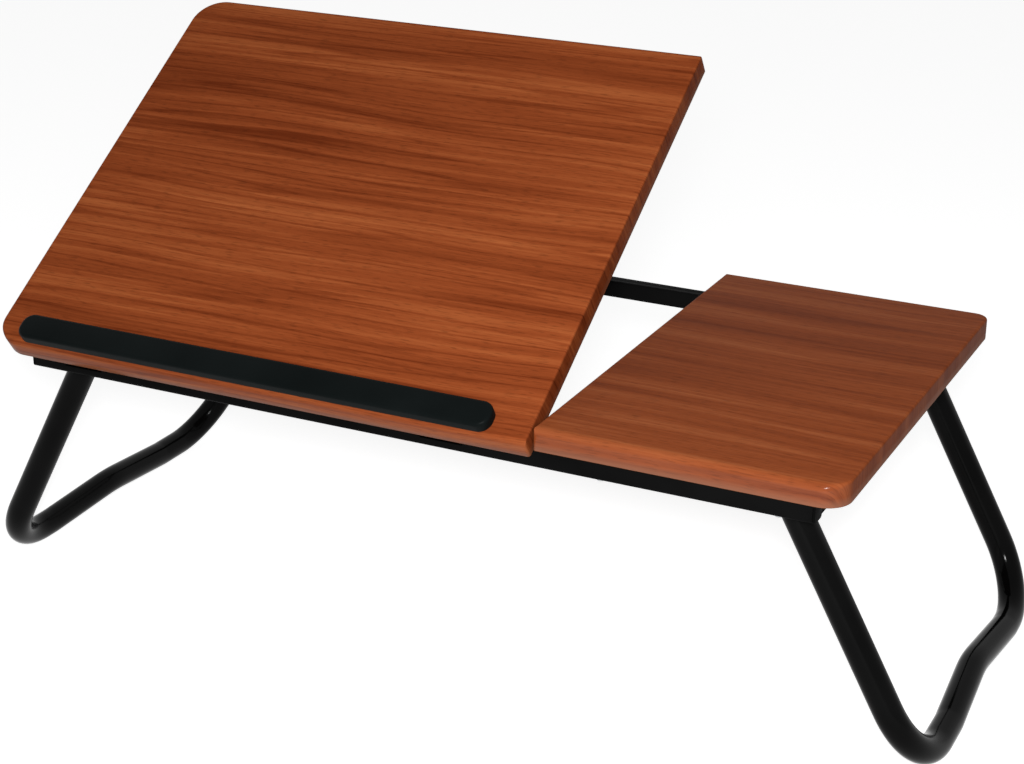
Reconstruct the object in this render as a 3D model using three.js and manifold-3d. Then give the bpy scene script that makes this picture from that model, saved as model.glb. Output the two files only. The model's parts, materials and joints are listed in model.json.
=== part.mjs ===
// Folding bed tray table: a split wooden top on a square-tube frame, with a tilting
// reading panel, a fixed side panel and two bent-tube legs that fold in under the frame.
// Millimetres, +Z up. X runs along the table, -Y is the user's side, the floor is z = 0.

import * as THREE from "three";
import { mergeVertices } from "three/addons/utils/BufferGeometryUtils.js";
import Module from "manifold-3d";

const wasm = await Module();
wasm.setup();

// Fits
const SEAT = 0.3;               // gap between pieces that touch
const RUN = 0.3;                // radial clearance of a turning or sliding fit

// Wooden top
const TOP_LENGTH = 605;         // both panels with the slit between them
const TOP_DEPTH = 330;
const TOP_THICKNESS = 15;
const SIDE_PANEL_LENGTH = 199.2;
const PANEL_SLIT = 0.8;
const OUTER_CORNER = 17;        // plan radius of the outer corners
const SIDE_REAR_CORNER = 12;    // the side panel's outer rear corner is tighter
const INNER_CORNER = 2;         // plan radius of the corners beside the slit
const TOP_ROLL = 5;             // radius of the rolled upper edge
const UNDER_EASE = 1;           // eased lower edge

// Book stop on the tilting panel
const STOP_LENGTH = 366;
const STOP_WIDTH = 17.5;
const STOP_HEIGHT = 7.5;
const STOP_FRONT_INSET = 3.5;   // from the panel's front edge
const STOP_LEFT_INSET = 16;     // from the panel's left edge
const STOP_END_RADIUS = 8.2;
const STOP_EDGE = 2.5;
const STOP_PEG_DIAMETER = 6;
const STOP_PEG_LENGTH = 9;
const STOP_PEG_SPREAD = 150;    // pegs left and right of the middle one

// Frame of square tube
const LEFT_OVERHANG = 23.2;     // top beyond the frame
const RIGHT_OVERHANG = 18.2;
const FRONT_OVERHANG = 3.5;     // top beyond the rails, front and rear
const RAIL_SIZE = 12.7;
const RAIL_WALL = 1;
const RAIL_CORNER = 2;
const PLUG_HEAD = 1.5;
const PLUG_LENGTH = 14;

// Legs of round tube
const TUBE_DIAMETER = 19;
const TUBE_WALL = 1.2;
const LEG_SPLAY = 28.6;         // degrees out from vertical, standing
const LEG_SIDE_ROOM = 3;        // bolt head to rail
const LEG_ARM_LENGTH = 187.6;   // pivot to the axis of the foot run
const LEG_BEND_RADIUS = 46;     // from arm to foot run
const HUMP_HALF_WIDTH = 71;
const HUMP_RISE = 7.6;
const HUMP_OFFSET = 8;          // crest beside the middle; both legs are one tube, turned round
const HUMP_FOOT_RADIUS = 50;
const HUMP_CREST_RADIUS = 105;
const LEG_PIVOT_DROP = 31;      // pivot below the table top's upper face
const LEG_PLUG_LENGTH = 16;

// Leg pivots
const BOLT_DIAMETER = 6;
const BOLT_HEAD_DIAMETER = 9;
const BOLT_HEAD_HEIGHT = 2.2;
const NUT_ACROSS_FLATS = 10;
const NUT_HEIGHT = 5;
const BOLT_TAIL = 1.5;
const BRACKET_THICKNESS = 3;
const BRACKET_ROUND = 8.5;      // radius of the plate around the bolt
const BRACKET_TOE = 8;          // reach of the plate under the end bar
const BRACKET_TOE_HEIGHT = 5.5;
const BRACKET_STOP_WIDTH = 20;  // width of the stop that the leg leans on

// Tilting panel
const TILT_ANGLE = 33.8;        // degrees, highest position
const TILT_PIN_DIAMETER = 3;
const TILT_PIN_DROP = 4.4;      // pin axis below the panel's underside
const TILT_HINGE_WIDTH = 26;
const TILT_HINGE_BARREL = 6;    // outer diameter
const TILT_HINGE_LEAF = 1.8;
const TILT_HINGE_REACH = 32;    // leaf behind the pin axis
const TILT_HINGE_INSET = 65;    // hinge middle from each end of the panel
const TILT_PIN_OVERHANG = 8;    // pin inside the rail on each side of its notch
const NOTCH_SIDE = 2;           // notch wider than the hinge on each side
const NOTCH_UNDER = 0.6;        // room under the barrel and the leaf

// Prop that holds the tilting panel up
const PROP_WIRE = 5;
const PROP_WIDTH = 130;         // between the axes of the two arms
const PROP_BEND_RADIUS = 7;
const PROP_EAR = 20;            // ends turned out into the clips
const PROP_DROP = 3.2;          // wire axis below the panel's underside
const CLIP_WIDTH = 10;
const CLIP_THICKNESS = 1.5;
const CLIP_FLANGE = 12;
const RACK_WIDTH = 10;
const RACK_SPACING = 100;
const RACK_STEPS = [TILT_ANGLE, 28.9, 23.4, 16.5]; // degrees of tilt that the notches give
const RACK_NOTCH_DEPTH = 2.4;
const RACK_NOTCH_RAMP = 4;
const RACK_NOSE = 9;            // rack in front of its first notch
const RACK_HEIGHT = 6.5;
const RACK_STEM = 4.6;
const RACK_LEG_ROOM = 1;        // stem to the arm of the folded leg
const RACK_TAB_HEIGHT = 5;

// Wood screws
const SCREW_DIAMETER = 3;
const SCREW_HEAD_DIAMETER = 6;
const SCREW_HEAD_HEIGHT = 1.8;
const SCREW_BITE = 9;           // depth in the wood
const SIDE_SCREW_INSET = 42;    // side panel screws from the panel's ends

// Derived places
const radians = THREE.MathUtils.degToRad;
const tubeRadius = TUBE_DIAMETER / 2;
const splay = radians(LEG_SPLAY);
const tilt = radians(TILT_ANGLE);
const topZ = LEG_PIVOT_DROP + LEG_ARM_LENGTH * Math.cos(splay) + tubeRadius;
const underZ = topZ - TOP_THICKNESS;
const railTopZ = underZ - SEAT;
const railBottomZ = railTopZ - RAIL_SIZE;
const railMidZ = railTopZ - RAIL_SIZE / 2;
const railOuterY = TOP_DEPTH / 2 - FRONT_OVERHANG;
const railInnerY = railOuterY - RAIL_SIZE;
const railMidY = railOuterY - RAIL_SIZE / 2;
const frameLength = TOP_LENGTH - LEFT_OVERHANG - RIGHT_OVERHANG;
const frameEndX = frameLength / 2;
const endBarInnerX = frameEndX - RAIL_SIZE;
const legPivotX = endBarInnerX - tubeRadius - RUN;
const legPivotZ = topZ - LEG_PIVOT_DROP;
const legArmY = railInnerY - LEG_SIDE_ROOM - BOLT_HEAD_HEIGHT - SEAT - tubeRadius;
const panelLeftX = -frameEndX - LEFT_OVERHANG;
const sideRightX = frameEndX + RIGHT_OVERHANG;
const sideLeftX = sideRightX - SIDE_PANEL_LENGTH;
const panelRightX = sideLeftX - PANEL_SLIT;
const panelMidX = (panelLeftX + panelRightX) / 2;
const frontY = -TOP_DEPTH / 2;
const pinRadius = TILT_PIN_DIAMETER / 2;
const tiltPinY = -railOuterY + RAIL_WALL + SEAT + pinRadius;
const tiltPinZ = underZ - TILT_PIN_DROP;
const wireRadius = PROP_WIRE / 2;
const rackTabBackY = railInnerY - SEAT;
const rackStemBackY = legArmY - tubeRadius - RACK_LEG_ROOM;
const rackStemFrontY = rackStemBackY - RACK_STEM;
// Tilt pin to panel pivot, and panel pivot to foot: laid flat, the foot stops short of the rack stem
const propLength = (rackStemFrontY - 2 * RUN - wireRadius - tiltPinY) / 2;
const propPivotY = tiltPinY + propLength;
const propPivotZ = underZ - PROP_DROP;
const tiltHingeXs = [panelLeftX + TILT_HINGE_INSET, panelRightX - TILT_HINGE_INSET];

// Finishes
const woodFinish = { color: 0x96482a, roughness: 0.42, metalness: 0 };
const woodShadeFinish = { color: 0x83462d, roughness: 0.42, metalness: 0 };
const blackPaint = { color: 0x141617, roughness: 0.35, metalness: 0.1 };
const blackPlastic = { color: 0x151b1d, roughness: 0.55, metalness: 0 };
const zincFinish = { color: 0x9a9c9e, roughness: 0.4, metalness: 0.9 };

// A closed geometry with shared vertices and its faces turned outwards
function closed(geometry) {
  const bare = geometry.clone();
  bare.deleteAttribute("normal");
  bare.deleteAttribute("uv");
  const merged = mergeVertices(bare, 1e-4);
  const index = Array.from(merged.index.array);
  const at = merged.attributes.position;
  const a = new THREE.Vector3();
  const b = new THREE.Vector3();
  const c = new THREE.Vector3();
  let volume = 0;
  for (let i = 0; i < index.length; i += 3) {
    a.fromBufferAttribute(at, index[i]);
    b.fromBufferAttribute(at, index[i + 1]);
    c.fromBufferAttribute(at, index[i + 2]);
    volume += a.dot(b.cross(c));
  }
  if (volume < 0) {
    for (let i = 0; i < index.length; i += 3) {
      [index[i], index[i + 1]] = [index[i + 1], index[i]];
    }
    merged.setIndex(index);
  }
  return merged;
}

function toSolid(geometry) {
  const mesh = closed(geometry);
  return new wasm.Manifold(new wasm.Mesh({
    numProp: 3,
    vertProperties: new Float32Array(mesh.attributes.position.array),
    triVerts: new Uint32Array(mesh.index.array),
  }));
}

function toGeometry(solid) {
  const mesh = solid.getMesh();
  const geometry = new THREE.BufferGeometry();
  geometry.setAttribute("position", new THREE.BufferAttribute(new Float32Array(mesh.vertProperties), 3));
  geometry.setIndex(new THREE.BufferAttribute(new Uint32Array(mesh.triVerts), 1));
  return geometry;
}

function cut(geometry, ...tools) {
  return toGeometry(tools.reduce((solid, tool) => solid.subtract(toSolid(tool)), toSolid(geometry)));
}

function join(geometry, ...others) {
  return toGeometry(others.reduce((solid, other) => solid.add(toSolid(other)), toSolid(geometry)));
}

function common(geometry, other) {
  return toGeometry(toSolid(geometry).intersect(toSolid(other)));
}

// Mirrors a piece built for the +X, +Y corner into another corner
function mirrored(geometry, signX, signY) {
  return closed(geometry.clone().applyMatrix4(new THREE.Matrix4().makeScale(signX, signY, 1)));
}

// Prisms along each axis: the outline is drawn in the other two axes
function prismZ(outline, lowZ, highZ, options = {}) {
  const solid = new THREE.ExtrudeGeometry(outline, {
    depth: highZ - lowZ, bevelEnabled: false, curveSegments: 4, ...options,
  });
  return solid.translate(0, 0, lowZ);
}

function prismX(outline, lowX, highX) {
  const solid = new THREE.ExtrudeGeometry(outline, {
    depth: highX - lowX, bevelEnabled: false, curveSegments: 4,
  });
  const turn = new THREE.Matrix4().makeBasis(
    new THREE.Vector3(0, 1, 0), new THREE.Vector3(0, 0, 1), new THREE.Vector3(1, 0, 0),
  );
  return solid.applyMatrix4(turn).translate(lowX, 0, 0);
}

function prismY(outline, lowY, highY) {
  const solid = new THREE.ExtrudeGeometry(outline, {
    depth: highY - lowY, bevelEnabled: false, curveSegments: 4,
  });
  const turn = new THREE.Matrix4().makeBasis(
    new THREE.Vector3(1, 0, 0), new THREE.Vector3(0, 0, 1), new THREE.Vector3(0, -1, 0),
  );
  return solid.applyMatrix4(turn).translate(0, highY, 0);
}

function rectangle(lowX, highX, lowY, highY) {
  return new THREE.Shape([
    new THREE.Vector2(lowX, lowY), new THREE.Vector2(highX, lowY),
    new THREE.Vector2(highX, highY), new THREE.Vector2(lowX, highY),
  ]);
}

// A rectangle with its own radius at each corner: front left, front right, rear right, rear left
function roundedRectangle(lowX, highX, lowY, highY, radii) {
  const [frontLeft, frontRight, rearRight, rearLeft] = radii;
  const shape = new THREE.Shape();
  shape.moveTo(lowX + frontLeft, lowY);
  shape.lineTo(highX - frontRight, lowY);
  shape.absarc(highX - frontRight, lowY + frontRight, frontRight, -Math.PI / 2, 0, false);
  shape.lineTo(highX, highY - rearRight);
  shape.absarc(highX - rearRight, highY - rearRight, rearRight, 0, Math.PI / 2, false);
  shape.lineTo(lowX + rearLeft, highY);
  shape.absarc(lowX + rearLeft, highY - rearLeft, rearLeft, Math.PI / 2, Math.PI, false);
  shape.lineTo(lowX, lowY + frontLeft);
  shape.absarc(lowX + frontLeft, lowY + frontLeft, frontLeft, Math.PI, 1.5 * Math.PI, false);
  return shape;
}

function disc(radius, sides, hole = 0) {
  const ring = (r) => Array.from({ length: sides }, (_, i) => {
    const angle = (2 * Math.PI * i) / sides;
    return new THREE.Vector2(r * Math.cos(angle), r * Math.sin(angle));
  });
  const shape = new THREE.Shape(ring(radius));
  if (hole > 0) {
    shape.holes.push(new THREE.Path(ring(hole)));
  }
  return shape;
}

// Round rods along each axis
function rodX(radius, lowX, highX, y, z, sides = 12) {
  return prismX(disc(radius, sides), lowX, highX).translate(0, y, z);
}

function rodY(radius, lowY, highY, x, z, sides = 12) {
  return prismY(disc(radius, sides), lowY, highY).translate(x, 0, z);
}

function rodZ(radius, lowZ, highZ, x, y, sides = 12) {
  return prismZ(disc(radius, sides), lowZ, highZ).translate(x, y, 0);
}

// A path of straight runs with a round bend at each corner, one step a run and several a bend
class BentPath extends THREE.Curve {
  constructor(corners, bends, stepAngle) {
    super();
    this.stations = [];
    const last = corners.length - 1;
    const heading = (i) => corners[i + 1].clone().sub(corners[i]).normalize();
    this.stations.push({ point: corners[0], tangent: heading(0) });
    for (let i = 1; i < last; i += 1) {
      const before = heading(i - 1);
      const after = heading(i);
      const turn = before.angleTo(after);
      const axis = before.clone().cross(after).normalize();
      const start = corners[i].clone().addScaledVector(before, -bends[i - 1] * Math.tan(turn / 2));
      const towardsCentre = axis.clone().cross(before);
      const centre = start.clone().addScaledVector(towardsCentre, bends[i - 1]);
      const steps = Math.max(2, Math.ceil(turn / stepAngle));
      for (let k = 0; k <= steps; k += 1) {
        const angle = (turn * k) / steps;
        const spoke = start.clone().sub(centre).applyAxisAngle(axis, angle);
        const tangent = before.clone().applyAxisAngle(axis, angle);
        this.stations.push({ point: centre.clone().add(spoke), tangent });
      }
    }
    this.stations.push({ point: corners[last], tangent: heading(last - 1) });
    this.steps = this.stations.length - 1;
  }

  getPointAt(u, target = new THREE.Vector3()) {
    return target.copy(this.stations[Math.round(u * this.steps)].point);
  }

  getTangentAt(u, target = new THREE.Vector3()) {
    return target.copy(this.stations[Math.round(u * this.steps)].tangent);
  }
}

function sweep(section, path) {
  return new THREE.ExtrudeGeometry(section, { steps: path.steps, extrudePath: path, bevelEnabled: false });
}

// A pan-head screw with its tip up, the underside of the head at the given height
function screwUp(seatZ, tipZ, x, y) {
  const shank = SCREW_DIAMETER / 2;
  const head = SCREW_HEAD_DIAMETER / 2;
  const profile = [
    [0, seatZ - SCREW_HEAD_HEIGHT], [head * 0.6, seatZ - SCREW_HEAD_HEIGHT],
    [head, seatZ - SCREW_HEAD_HEIGHT * 0.45], [head, seatZ], [shank, seatZ],
    [shank, tipZ - SCREW_DIAMETER], [0, tipZ],
  ].map(([r, z]) => new THREE.Vector2(r, z));
  return new THREE.LatheGeometry(profile, 10).rotateX(Math.PI / 2).translate(x, y, 0);
}

function screwHole(lowZ, highZ, x, y) {
  return rodZ(SCREW_DIAMETER / 2 + RUN, lowZ, highZ, x, y, 10);
}

const table = new THREE.Group();

function addPiece(parent, name, geometry, finish) {
  const mesh = new THREE.Mesh(closed(geometry), new THREE.MeshStandardMaterial(finish));
  mesh.name = name;
  parent.add(mesh);
  return mesh;
}

// Wooden panels: a plate with round corners and a rolled upper edge, as the hull of its level outlines
function woodPanel(lowX, highX, radii) {
  const points = [];
  const addLevel = (inset, z) => {
    const corners = radii.map((radius) => Math.max(radius - inset, 0.1));
    const plan = roundedRectangle(lowX + inset, highX - inset, frontY + inset, -frontY - inset, corners);
    points.push(...plan.getPoints(5).map(({ x, y }) => [x, y, z]));
  };
  addLevel(UNDER_EASE, underZ);
  addLevel(0, underZ + UNDER_EASE);
  const rollSteps = 4;
  for (let i = 0; i <= rollSteps; i += 1) {
    const angle = (Math.PI / 2) * (i / rollSteps);
    addLevel(TOP_ROLL * (1 - Math.cos(angle)), topZ - TOP_ROLL * (1 - Math.sin(angle)));
  }
  return toGeometry(wasm.Manifold.hull(points));
}

// Frame
const tubeSection = () => {
  const half = RAIL_SIZE / 2;
  const bore = half - RAIL_WALL;
  const boreCorner = RAIL_CORNER - RAIL_WALL;
  const outer = roundedRectangle(-half, half, -half, half, Array(4).fill(RAIL_CORNER));
  outer.holes.push(roundedRectangle(-bore, bore, -bore, bore, Array(4).fill(boreCorner)));
  return outer;
};

const sideScrewXs = [sideLeftX + SIDE_SCREW_INSET, sideRightX - SIDE_SCREW_INSET];
const railLength = frameLength - 2 * PLUG_HEAD;

function railTube(sign) {
  const tube = prismX(tubeSection(), -railLength / 2, railLength / 2).translate(0, sign * railMidY, railMidZ);
  const holes = sideScrewXs.map((x) => screwHole(railBottomZ - 1, railTopZ + 1, x, sign * railMidY));
  return cut(tube, ...holes);
}

function hingeNotch(x) {
  const half = TILT_HINGE_WIDTH / 2 + NOTCH_SIDE;
  const barrelLow = tiltPinZ - TILT_HINGE_BARREL / 2 - NOTCH_UNDER;
  const barrelBack = tiltPinY + TILT_HINGE_BARREL / 2 + NOTCH_UNDER;
  const leafLow = underZ - SEAT - TILT_HINGE_LEAF - NOTCH_UNDER;
  const outside = -railOuterY - 1;
  const inside = -railInnerY + 1;
  const front = prismX(rectangle(outside, barrelBack, barrelLow, railTopZ + 1), x - half, x + half);
  const back = prismX(rectangle(barrelBack - 1, inside, leafLow, railTopZ + 1), x - half, x + half);
  return join(front, back);
}

function endBar() {
  const length = 2 * (railInnerY - SEAT);
  const bar = prismY(tubeSection(), -length / 2, length / 2);
  return bar.translate(endBarInnerX + RAIL_SIZE / 2, 0, railMidZ);
}

// Plug in a rail end: a square head outside and a stem in the bore
function railPlug() {
  const half = RAIL_SIZE / 2;
  const stem = half - RAIL_WALL - RUN;
  const headX = frameEndX - PLUG_HEAD + SEAT;
  const square = (r, corner) => roundedRectangle(-r, r, -r, r, Array(4).fill(corner));
  const head = prismX(square(half, RAIL_CORNER), headX, frameEndX + SEAT);
  const body = prismX(square(stem, RAIL_CORNER - RAIL_WALL), headX - PLUG_LENGTH, headX + 0.5);
  return join(head, body).translate(0, railMidY, railMidZ);
}

// Leg bracket: a plate beside the tube, with a stop that the standing leg leans on
const bracketOuterY = legArmY - tubeRadius - RUN;
const bracketInnerY = bracketOuterY - BRACKET_THICKNESS;

function stopFaceX(z) {
  // The tube's outer side at this height, with the seat gap
  const along = (legPivotZ - z + (tubeRadius + SEAT) * Math.sin(splay)) / Math.cos(splay);
  return legPivotX + (tubeRadius + SEAT) * Math.cos(splay) + along * Math.sin(splay);
}

function legBracket() {
  const toeTop = railBottomZ - SEAT;
  const toeLow = toeTop - BRACKET_TOE_HEIGHT;
  const toeX = endBarInnerX + BRACKET_TOE;
  const plate = new THREE.Shape();
  plate.moveTo(endBarInnerX - SEAT, railTopZ - SEAT);
  plate.lineTo(legPivotX - BRACKET_ROUND, railTopZ - SEAT);
  plate.lineTo(legPivotX - BRACKET_ROUND, legPivotZ);
  plate.absarc(legPivotX, legPivotZ, BRACKET_ROUND, Math.PI, 1.5 * Math.PI, false);
  plate.lineTo(toeX, toeLow);
  plate.lineTo(toeX, toeTop);
  plate.lineTo(endBarInnerX - SEAT, toeTop);
  const stop = new THREE.Shape([
    new THREE.Vector2(stopFaceX(toeTop), toeTop), new THREE.Vector2(stopFaceX(toeLow), toeLow),
    new THREE.Vector2(toeX, toeLow), new THREE.Vector2(toeX, toeTop),
  ]);
  const body = join(
    prismY(plate, bracketInnerY, bracketOuterY),
    prismY(stop, bracketInnerY, bracketInnerY + BRACKET_STOP_WIDTH),
  );
  const hole = rodY(BOLT_DIAMETER / 2 + RUN, bracketInnerY - 1, bracketOuterY + 1, legPivotX, legPivotZ);
  return cut(body, hole);
}

// Pivot bolt: low round head outside the tube, shank through tube and bracket
const nutOuterY = bracketInnerY - SEAT;

function legBolt() {
  const headSeat = legArmY + tubeRadius + SEAT;
  const tail = nutOuterY - NUT_HEIGHT - BOLT_TAIL;
  const shank = BOLT_DIAMETER / 2;
  const head = BOLT_HEAD_DIAMETER / 2;
  const profile = [
    [0, tail], [shank - 0.6, tail], [shank, tail + 0.6], [shank, headSeat], [head, headSeat],
    [head, headSeat + BOLT_HEAD_HEIGHT * 0.5], [head * 0.6, headSeat + BOLT_HEAD_HEIGHT],
    [0, headSeat + BOLT_HEAD_HEIGHT],
  ].map(([r, y]) => new THREE.Vector2(r, y));
  return new THREE.LatheGeometry(profile, 12).translate(legPivotX, 0, legPivotZ);
}

function legNut() {
  const hexagon = disc(NUT_ACROSS_FLATS / 2 / Math.cos(Math.PI / 6), 6);
  hexagon.holes.push(new THREE.Path(disc(BOLT_DIAMETER / 2 + RUN, 12).getPoints()));
  return prismY(hexagon, nutOuterY - NUT_HEIGHT, nutOuterY).translate(legPivotX, 0, legPivotZ);
}

// Racks behind the tilting panel, where the foot of the prop stands
const propFootY = (degrees) => {
  const angle = radians(degrees);
  return tiltPinY + 2 * propLength * Math.cos(angle) - (propPivotZ - tiltPinZ) * Math.sin(angle);
};
const rackTopZ = tiltPinZ + (propPivotZ - tiltPinZ) * Math.cos(tilt) - wireRadius - SEAT;

function propRack(x) {
  const floorZ = rackTopZ - RACK_HEIGHT;
  const tabTopZ = railTopZ - 2 * SEAT;
  const points = [
    [rackTabBackY, tabTopZ], [rackStemFrontY, tabTopZ], [rackStemFrontY, rackTopZ],
  ];
  for (const degrees of [...RACK_STEPS].reverse()) {
    const y = propFootY(degrees);
    const backY = y + wireRadius + RUN;
    points.push([backY, rackTopZ], [backY, rackTopZ - RACK_NOTCH_DEPTH]);
    points.push([y - wireRadius, rackTopZ - RACK_NOTCH_DEPTH], [y - wireRadius - RACK_NOTCH_RAMP, rackTopZ]);
  }
  const noseY = propFootY(RACK_STEPS[0]) - RACK_NOSE;
  points.push([noseY, rackTopZ], [noseY, floorZ + RACK_HEIGHT / 2], [noseY + RACK_HEIGHT / 2, floorZ]);
  const tabLowZ = tabTopZ - RACK_TAB_HEIGHT;
  points.push([rackStemBackY, floorZ], [rackStemBackY, tabLowZ], [rackTabBackY, tabLowZ]);
  const outline = new THREE.Shape(points.map(([y, z]) => new THREE.Vector2(y, z)));
  return prismX(outline, x - RACK_WIDTH / 2, x + RACK_WIDTH / 2);
}

const frontRail = cut(railTube(-1), ...tiltHingeXs.map(hingeNotch));
addPiece(table, "front_rail", frontRail, blackPaint);
addPiece(table, "rear_rail", railTube(1), blackPaint);
addPiece(table, "right_end_bar", endBar(), blackPaint);
addPiece(table, "left_end_bar", mirrored(endBar(), -1, 1), blackPaint);

const cornerNames = [
  ["front_left", -1, -1], ["front_right", 1, -1], ["rear_left", -1, 1], ["rear_right", 1, 1],
];
for (const [corner, signX, signY] of cornerNames) {
  addPiece(table, `${corner}_rail_plug`, mirrored(railPlug(), signX, signY), blackPlastic);
  addPiece(table, `${corner}_leg_bracket`, mirrored(legBracket(), signX, signY), blackPaint);
  addPiece(table, `${corner}_leg_bolt`, mirrored(legBolt(), signX, signY), zincFinish);
  addPiece(table, `${corner}_leg_nut`, mirrored(legNut(), signX, signY), zincFinish);
}

// Side panel with its four screws
const screwRows = [["front", -1], ["rear", 1]];
const screwTipZ = underZ + SCREW_BITE;
const sidePilots = sideScrewXs.flatMap((x) => screwRows.map(([, sign]) => (
  screwHole(underZ - 1, screwTipZ + 1, x, sign * railMidY)
)));
const sidePlan = [INNER_CORNER, OUTER_CORNER, SIDE_REAR_CORNER, INNER_CORNER];
const sidePanel = cut(woodPanel(sideLeftX, sideRightX, sidePlan), ...sidePilots);
addPiece(table, "side_panel", sidePanel, woodShadeFinish);
for (const [row, sign] of screwRows) {
  sideScrewXs.forEach((x, i) => {
    const screw = screwUp(railBottomZ - SEAT, screwTipZ, x, sign * railMidY);
    addPiece(table, `side_panel_screw_${row}_${i + 1}`, screw, zincFinish);
  });
}

tiltHingeXs.forEach((x, i) => {
  const half = TILT_HINGE_WIDTH / 2 + NOTCH_SIDE + TILT_PIN_OVERHANG;
  addPiece(table, `tilt_pin_${i + 1}`, rodX(pinRadius, x - half, x + half, tiltPinY, tiltPinZ), zincFinish);
});
[-1, 1].forEach((sign, i) => {
  addPiece(table, `prop_rack_${i + 1}`, propRack(panelMidX + (sign * RACK_SPACING) / 2), blackPaint);
});

// Tilting panel, modelled flat and turned about the tilt pins
const tiltGroup = new THREE.Group();
tiltGroup.position.set(0, tiltPinY, tiltPinZ);
tiltGroup.rotation.x = tilt;
table.add(tiltGroup);

const hingeScrewYs = [0.45, 0.85].map((share) => tiltPinY + TILT_HINGE_REACH * share);
const clipReach = PROP_WIDTH / 2 + (PROP_EAR + PROP_BEND_RADIUS) / 2;
const clipXs = [-1, 1].map((sign) => panelMidX + sign * clipReach);
const clipScrewReach = wireRadius + RUN + CLIP_THICKNESS + CLIP_FLANGE / 2;
const clipScrewYs = [-1, 1].map((sign) => propPivotY + sign * clipScrewReach);
const leafLowZ = underZ - SEAT - TILT_HINGE_LEAF;
const clipLowZ = underZ - SEAT - CLIP_THICKNESS;
const stopMidX = panelLeftX + STOP_LEFT_INSET + STOP_LENGTH / 2;
const stopMidY = frontY + STOP_FRONT_INSET + STOP_WIDTH / 2;
const pegXs = [-1, 0, 1].map((side) => stopMidX + side * STOP_PEG_SPREAD);

function tiltHinge(x) {
  const low = x - TILT_HINGE_WIDTH / 2;
  const high = x + TILT_HINGE_WIDTH / 2;
  const barrel = rodX(TILT_HINGE_BARREL / 2, low, high, tiltPinY, tiltPinZ, 16);
  const front = tiltPinY - TILT_HINGE_BARREL / 2 + TILT_HINGE_LEAF / 4;
  const leaf = prismX(rectangle(front, tiltPinY + TILT_HINGE_REACH, leafLowZ, underZ - SEAT), low, high);
  const web = prismX(rectangle(front, tiltPinY + pinRadius, tiltPinZ, underZ - SEAT), low, high);
  const bore = rodX(pinRadius + RUN, low - 1, high + 1, tiltPinY, tiltPinZ, 16);
  const holes = hingeScrewYs.map((y) => screwHole(leafLowZ - 1, underZ + 1, x, y));
  return cut(join(barrel, leaf, web), bore, ...holes);
}

function propClip(x) {
  const inner = wireRadius + RUN;
  const outer = inner + CLIP_THICKNESS;
  const top = underZ - SEAT;
  const reach = outer + CLIP_FLANGE;
  const strap = new THREE.Shape();
  strap.moveTo(propPivotY - reach, top);
  strap.lineTo(propPivotY - reach, clipLowZ);
  strap.lineTo(propPivotY - outer, clipLowZ);
  strap.lineTo(propPivotY - outer, propPivotZ);
  strap.absarc(propPivotY, propPivotZ, outer, Math.PI, 2 * Math.PI, false);
  strap.lineTo(propPivotY + outer, clipLowZ);
  strap.lineTo(propPivotY + reach, clipLowZ);
  strap.lineTo(propPivotY + reach, top);
  strap.lineTo(propPivotY + inner, top);
  strap.lineTo(propPivotY + inner, propPivotZ);
  strap.absarc(propPivotY, propPivotZ, inner, 2 * Math.PI, Math.PI, true);
  strap.lineTo(propPivotY - inner, top);
  const body = prismX(strap, x - CLIP_WIDTH / 2, x + CLIP_WIDTH / 2);
  return cut(body, ...clipScrewYs.map((y) => screwHole(clipLowZ - 1, underZ + 1, x, y)));
}

function bookStop() {
  const halfLength = STOP_LENGTH / 2;
  const halfWidth = STOP_WIDTH / 2;
  const ends = Array(4).fill(STOP_END_RADIUS);
  const plan = roundedRectangle(-halfLength, halfLength, -halfWidth, halfWidth, ends);
  const low = topZ + SEAT;
  const bar = prismZ(plan, low, low + STOP_HEIGHT - STOP_EDGE, {
    bevelEnabled: true,
    bevelThickness: STOP_EDGE,
    bevelSize: STOP_EDGE,
    bevelOffset: -STOP_EDGE,
    bevelSegments: 3,
  });
  const footprint = rectangle(-halfLength, halfLength, -halfWidth, halfWidth);
  const trimmed = common(bar, prismZ(footprint, low, low + 2 * STOP_HEIGHT));
  const pegs = pegXs.map((x) => (
    rodZ(STOP_PEG_DIAMETER / 2, topZ - STOP_PEG_LENGTH, low + 1, x - stopMidX, 0, 10)
  ));
  return join(trimmed, ...pegs).translate(stopMidX, stopMidY, 0);
}

const panelPilots = [
  ...tiltHingeXs.flatMap((x) => hingeScrewYs.map((y) => screwHole(underZ - 1, screwTipZ + 1, x, y))),
  ...clipXs.flatMap((x) => clipScrewYs.map((y) => screwHole(underZ - 1, screwTipZ + 1, x, y))),
  ...pegXs.map((x) => (
    rodZ(STOP_PEG_DIAMETER / 2 + RUN, topZ - STOP_PEG_LENGTH - SEAT, topZ + 1, x, stopMidY, 10)
  )),
];
const panelPlan = [OUTER_CORNER, INNER_CORNER, INNER_CORNER, OUTER_CORNER];

function addTilting(name, geometry, finish) {
  addPiece(tiltGroup, name, geometry, finish).position.set(0, -tiltPinY, -tiltPinZ);
}

const tiltingPanel = cut(woodPanel(panelLeftX, panelRightX, panelPlan), ...panelPilots);
addTilting("tilting_panel", tiltingPanel, woodFinish);
addTilting("book_stop", bookStop(), blackPlastic);
tiltHingeXs.forEach((x, i) => {
  addTilting(`tilt_hinge_${i + 1}`, tiltHinge(x), blackPaint);
  hingeScrewYs.forEach((y, k) => {
    addTilting(`tilt_hinge_${i + 1}_screw_${k + 1}`, screwUp(leafLowZ - SEAT, screwTipZ, x, y), zincFinish);
  });
});
clipXs.forEach((x, i) => {
  addTilting(`prop_clip_${i + 1}`, propClip(x), zincFinish);
  clipScrewYs.forEach((y, k) => {
    addTilting(`prop_clip_${i + 1}_screw_${k + 1}`, screwUp(clipLowZ - SEAT, screwTipZ, x, y), zincFinish);
  });
});

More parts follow.
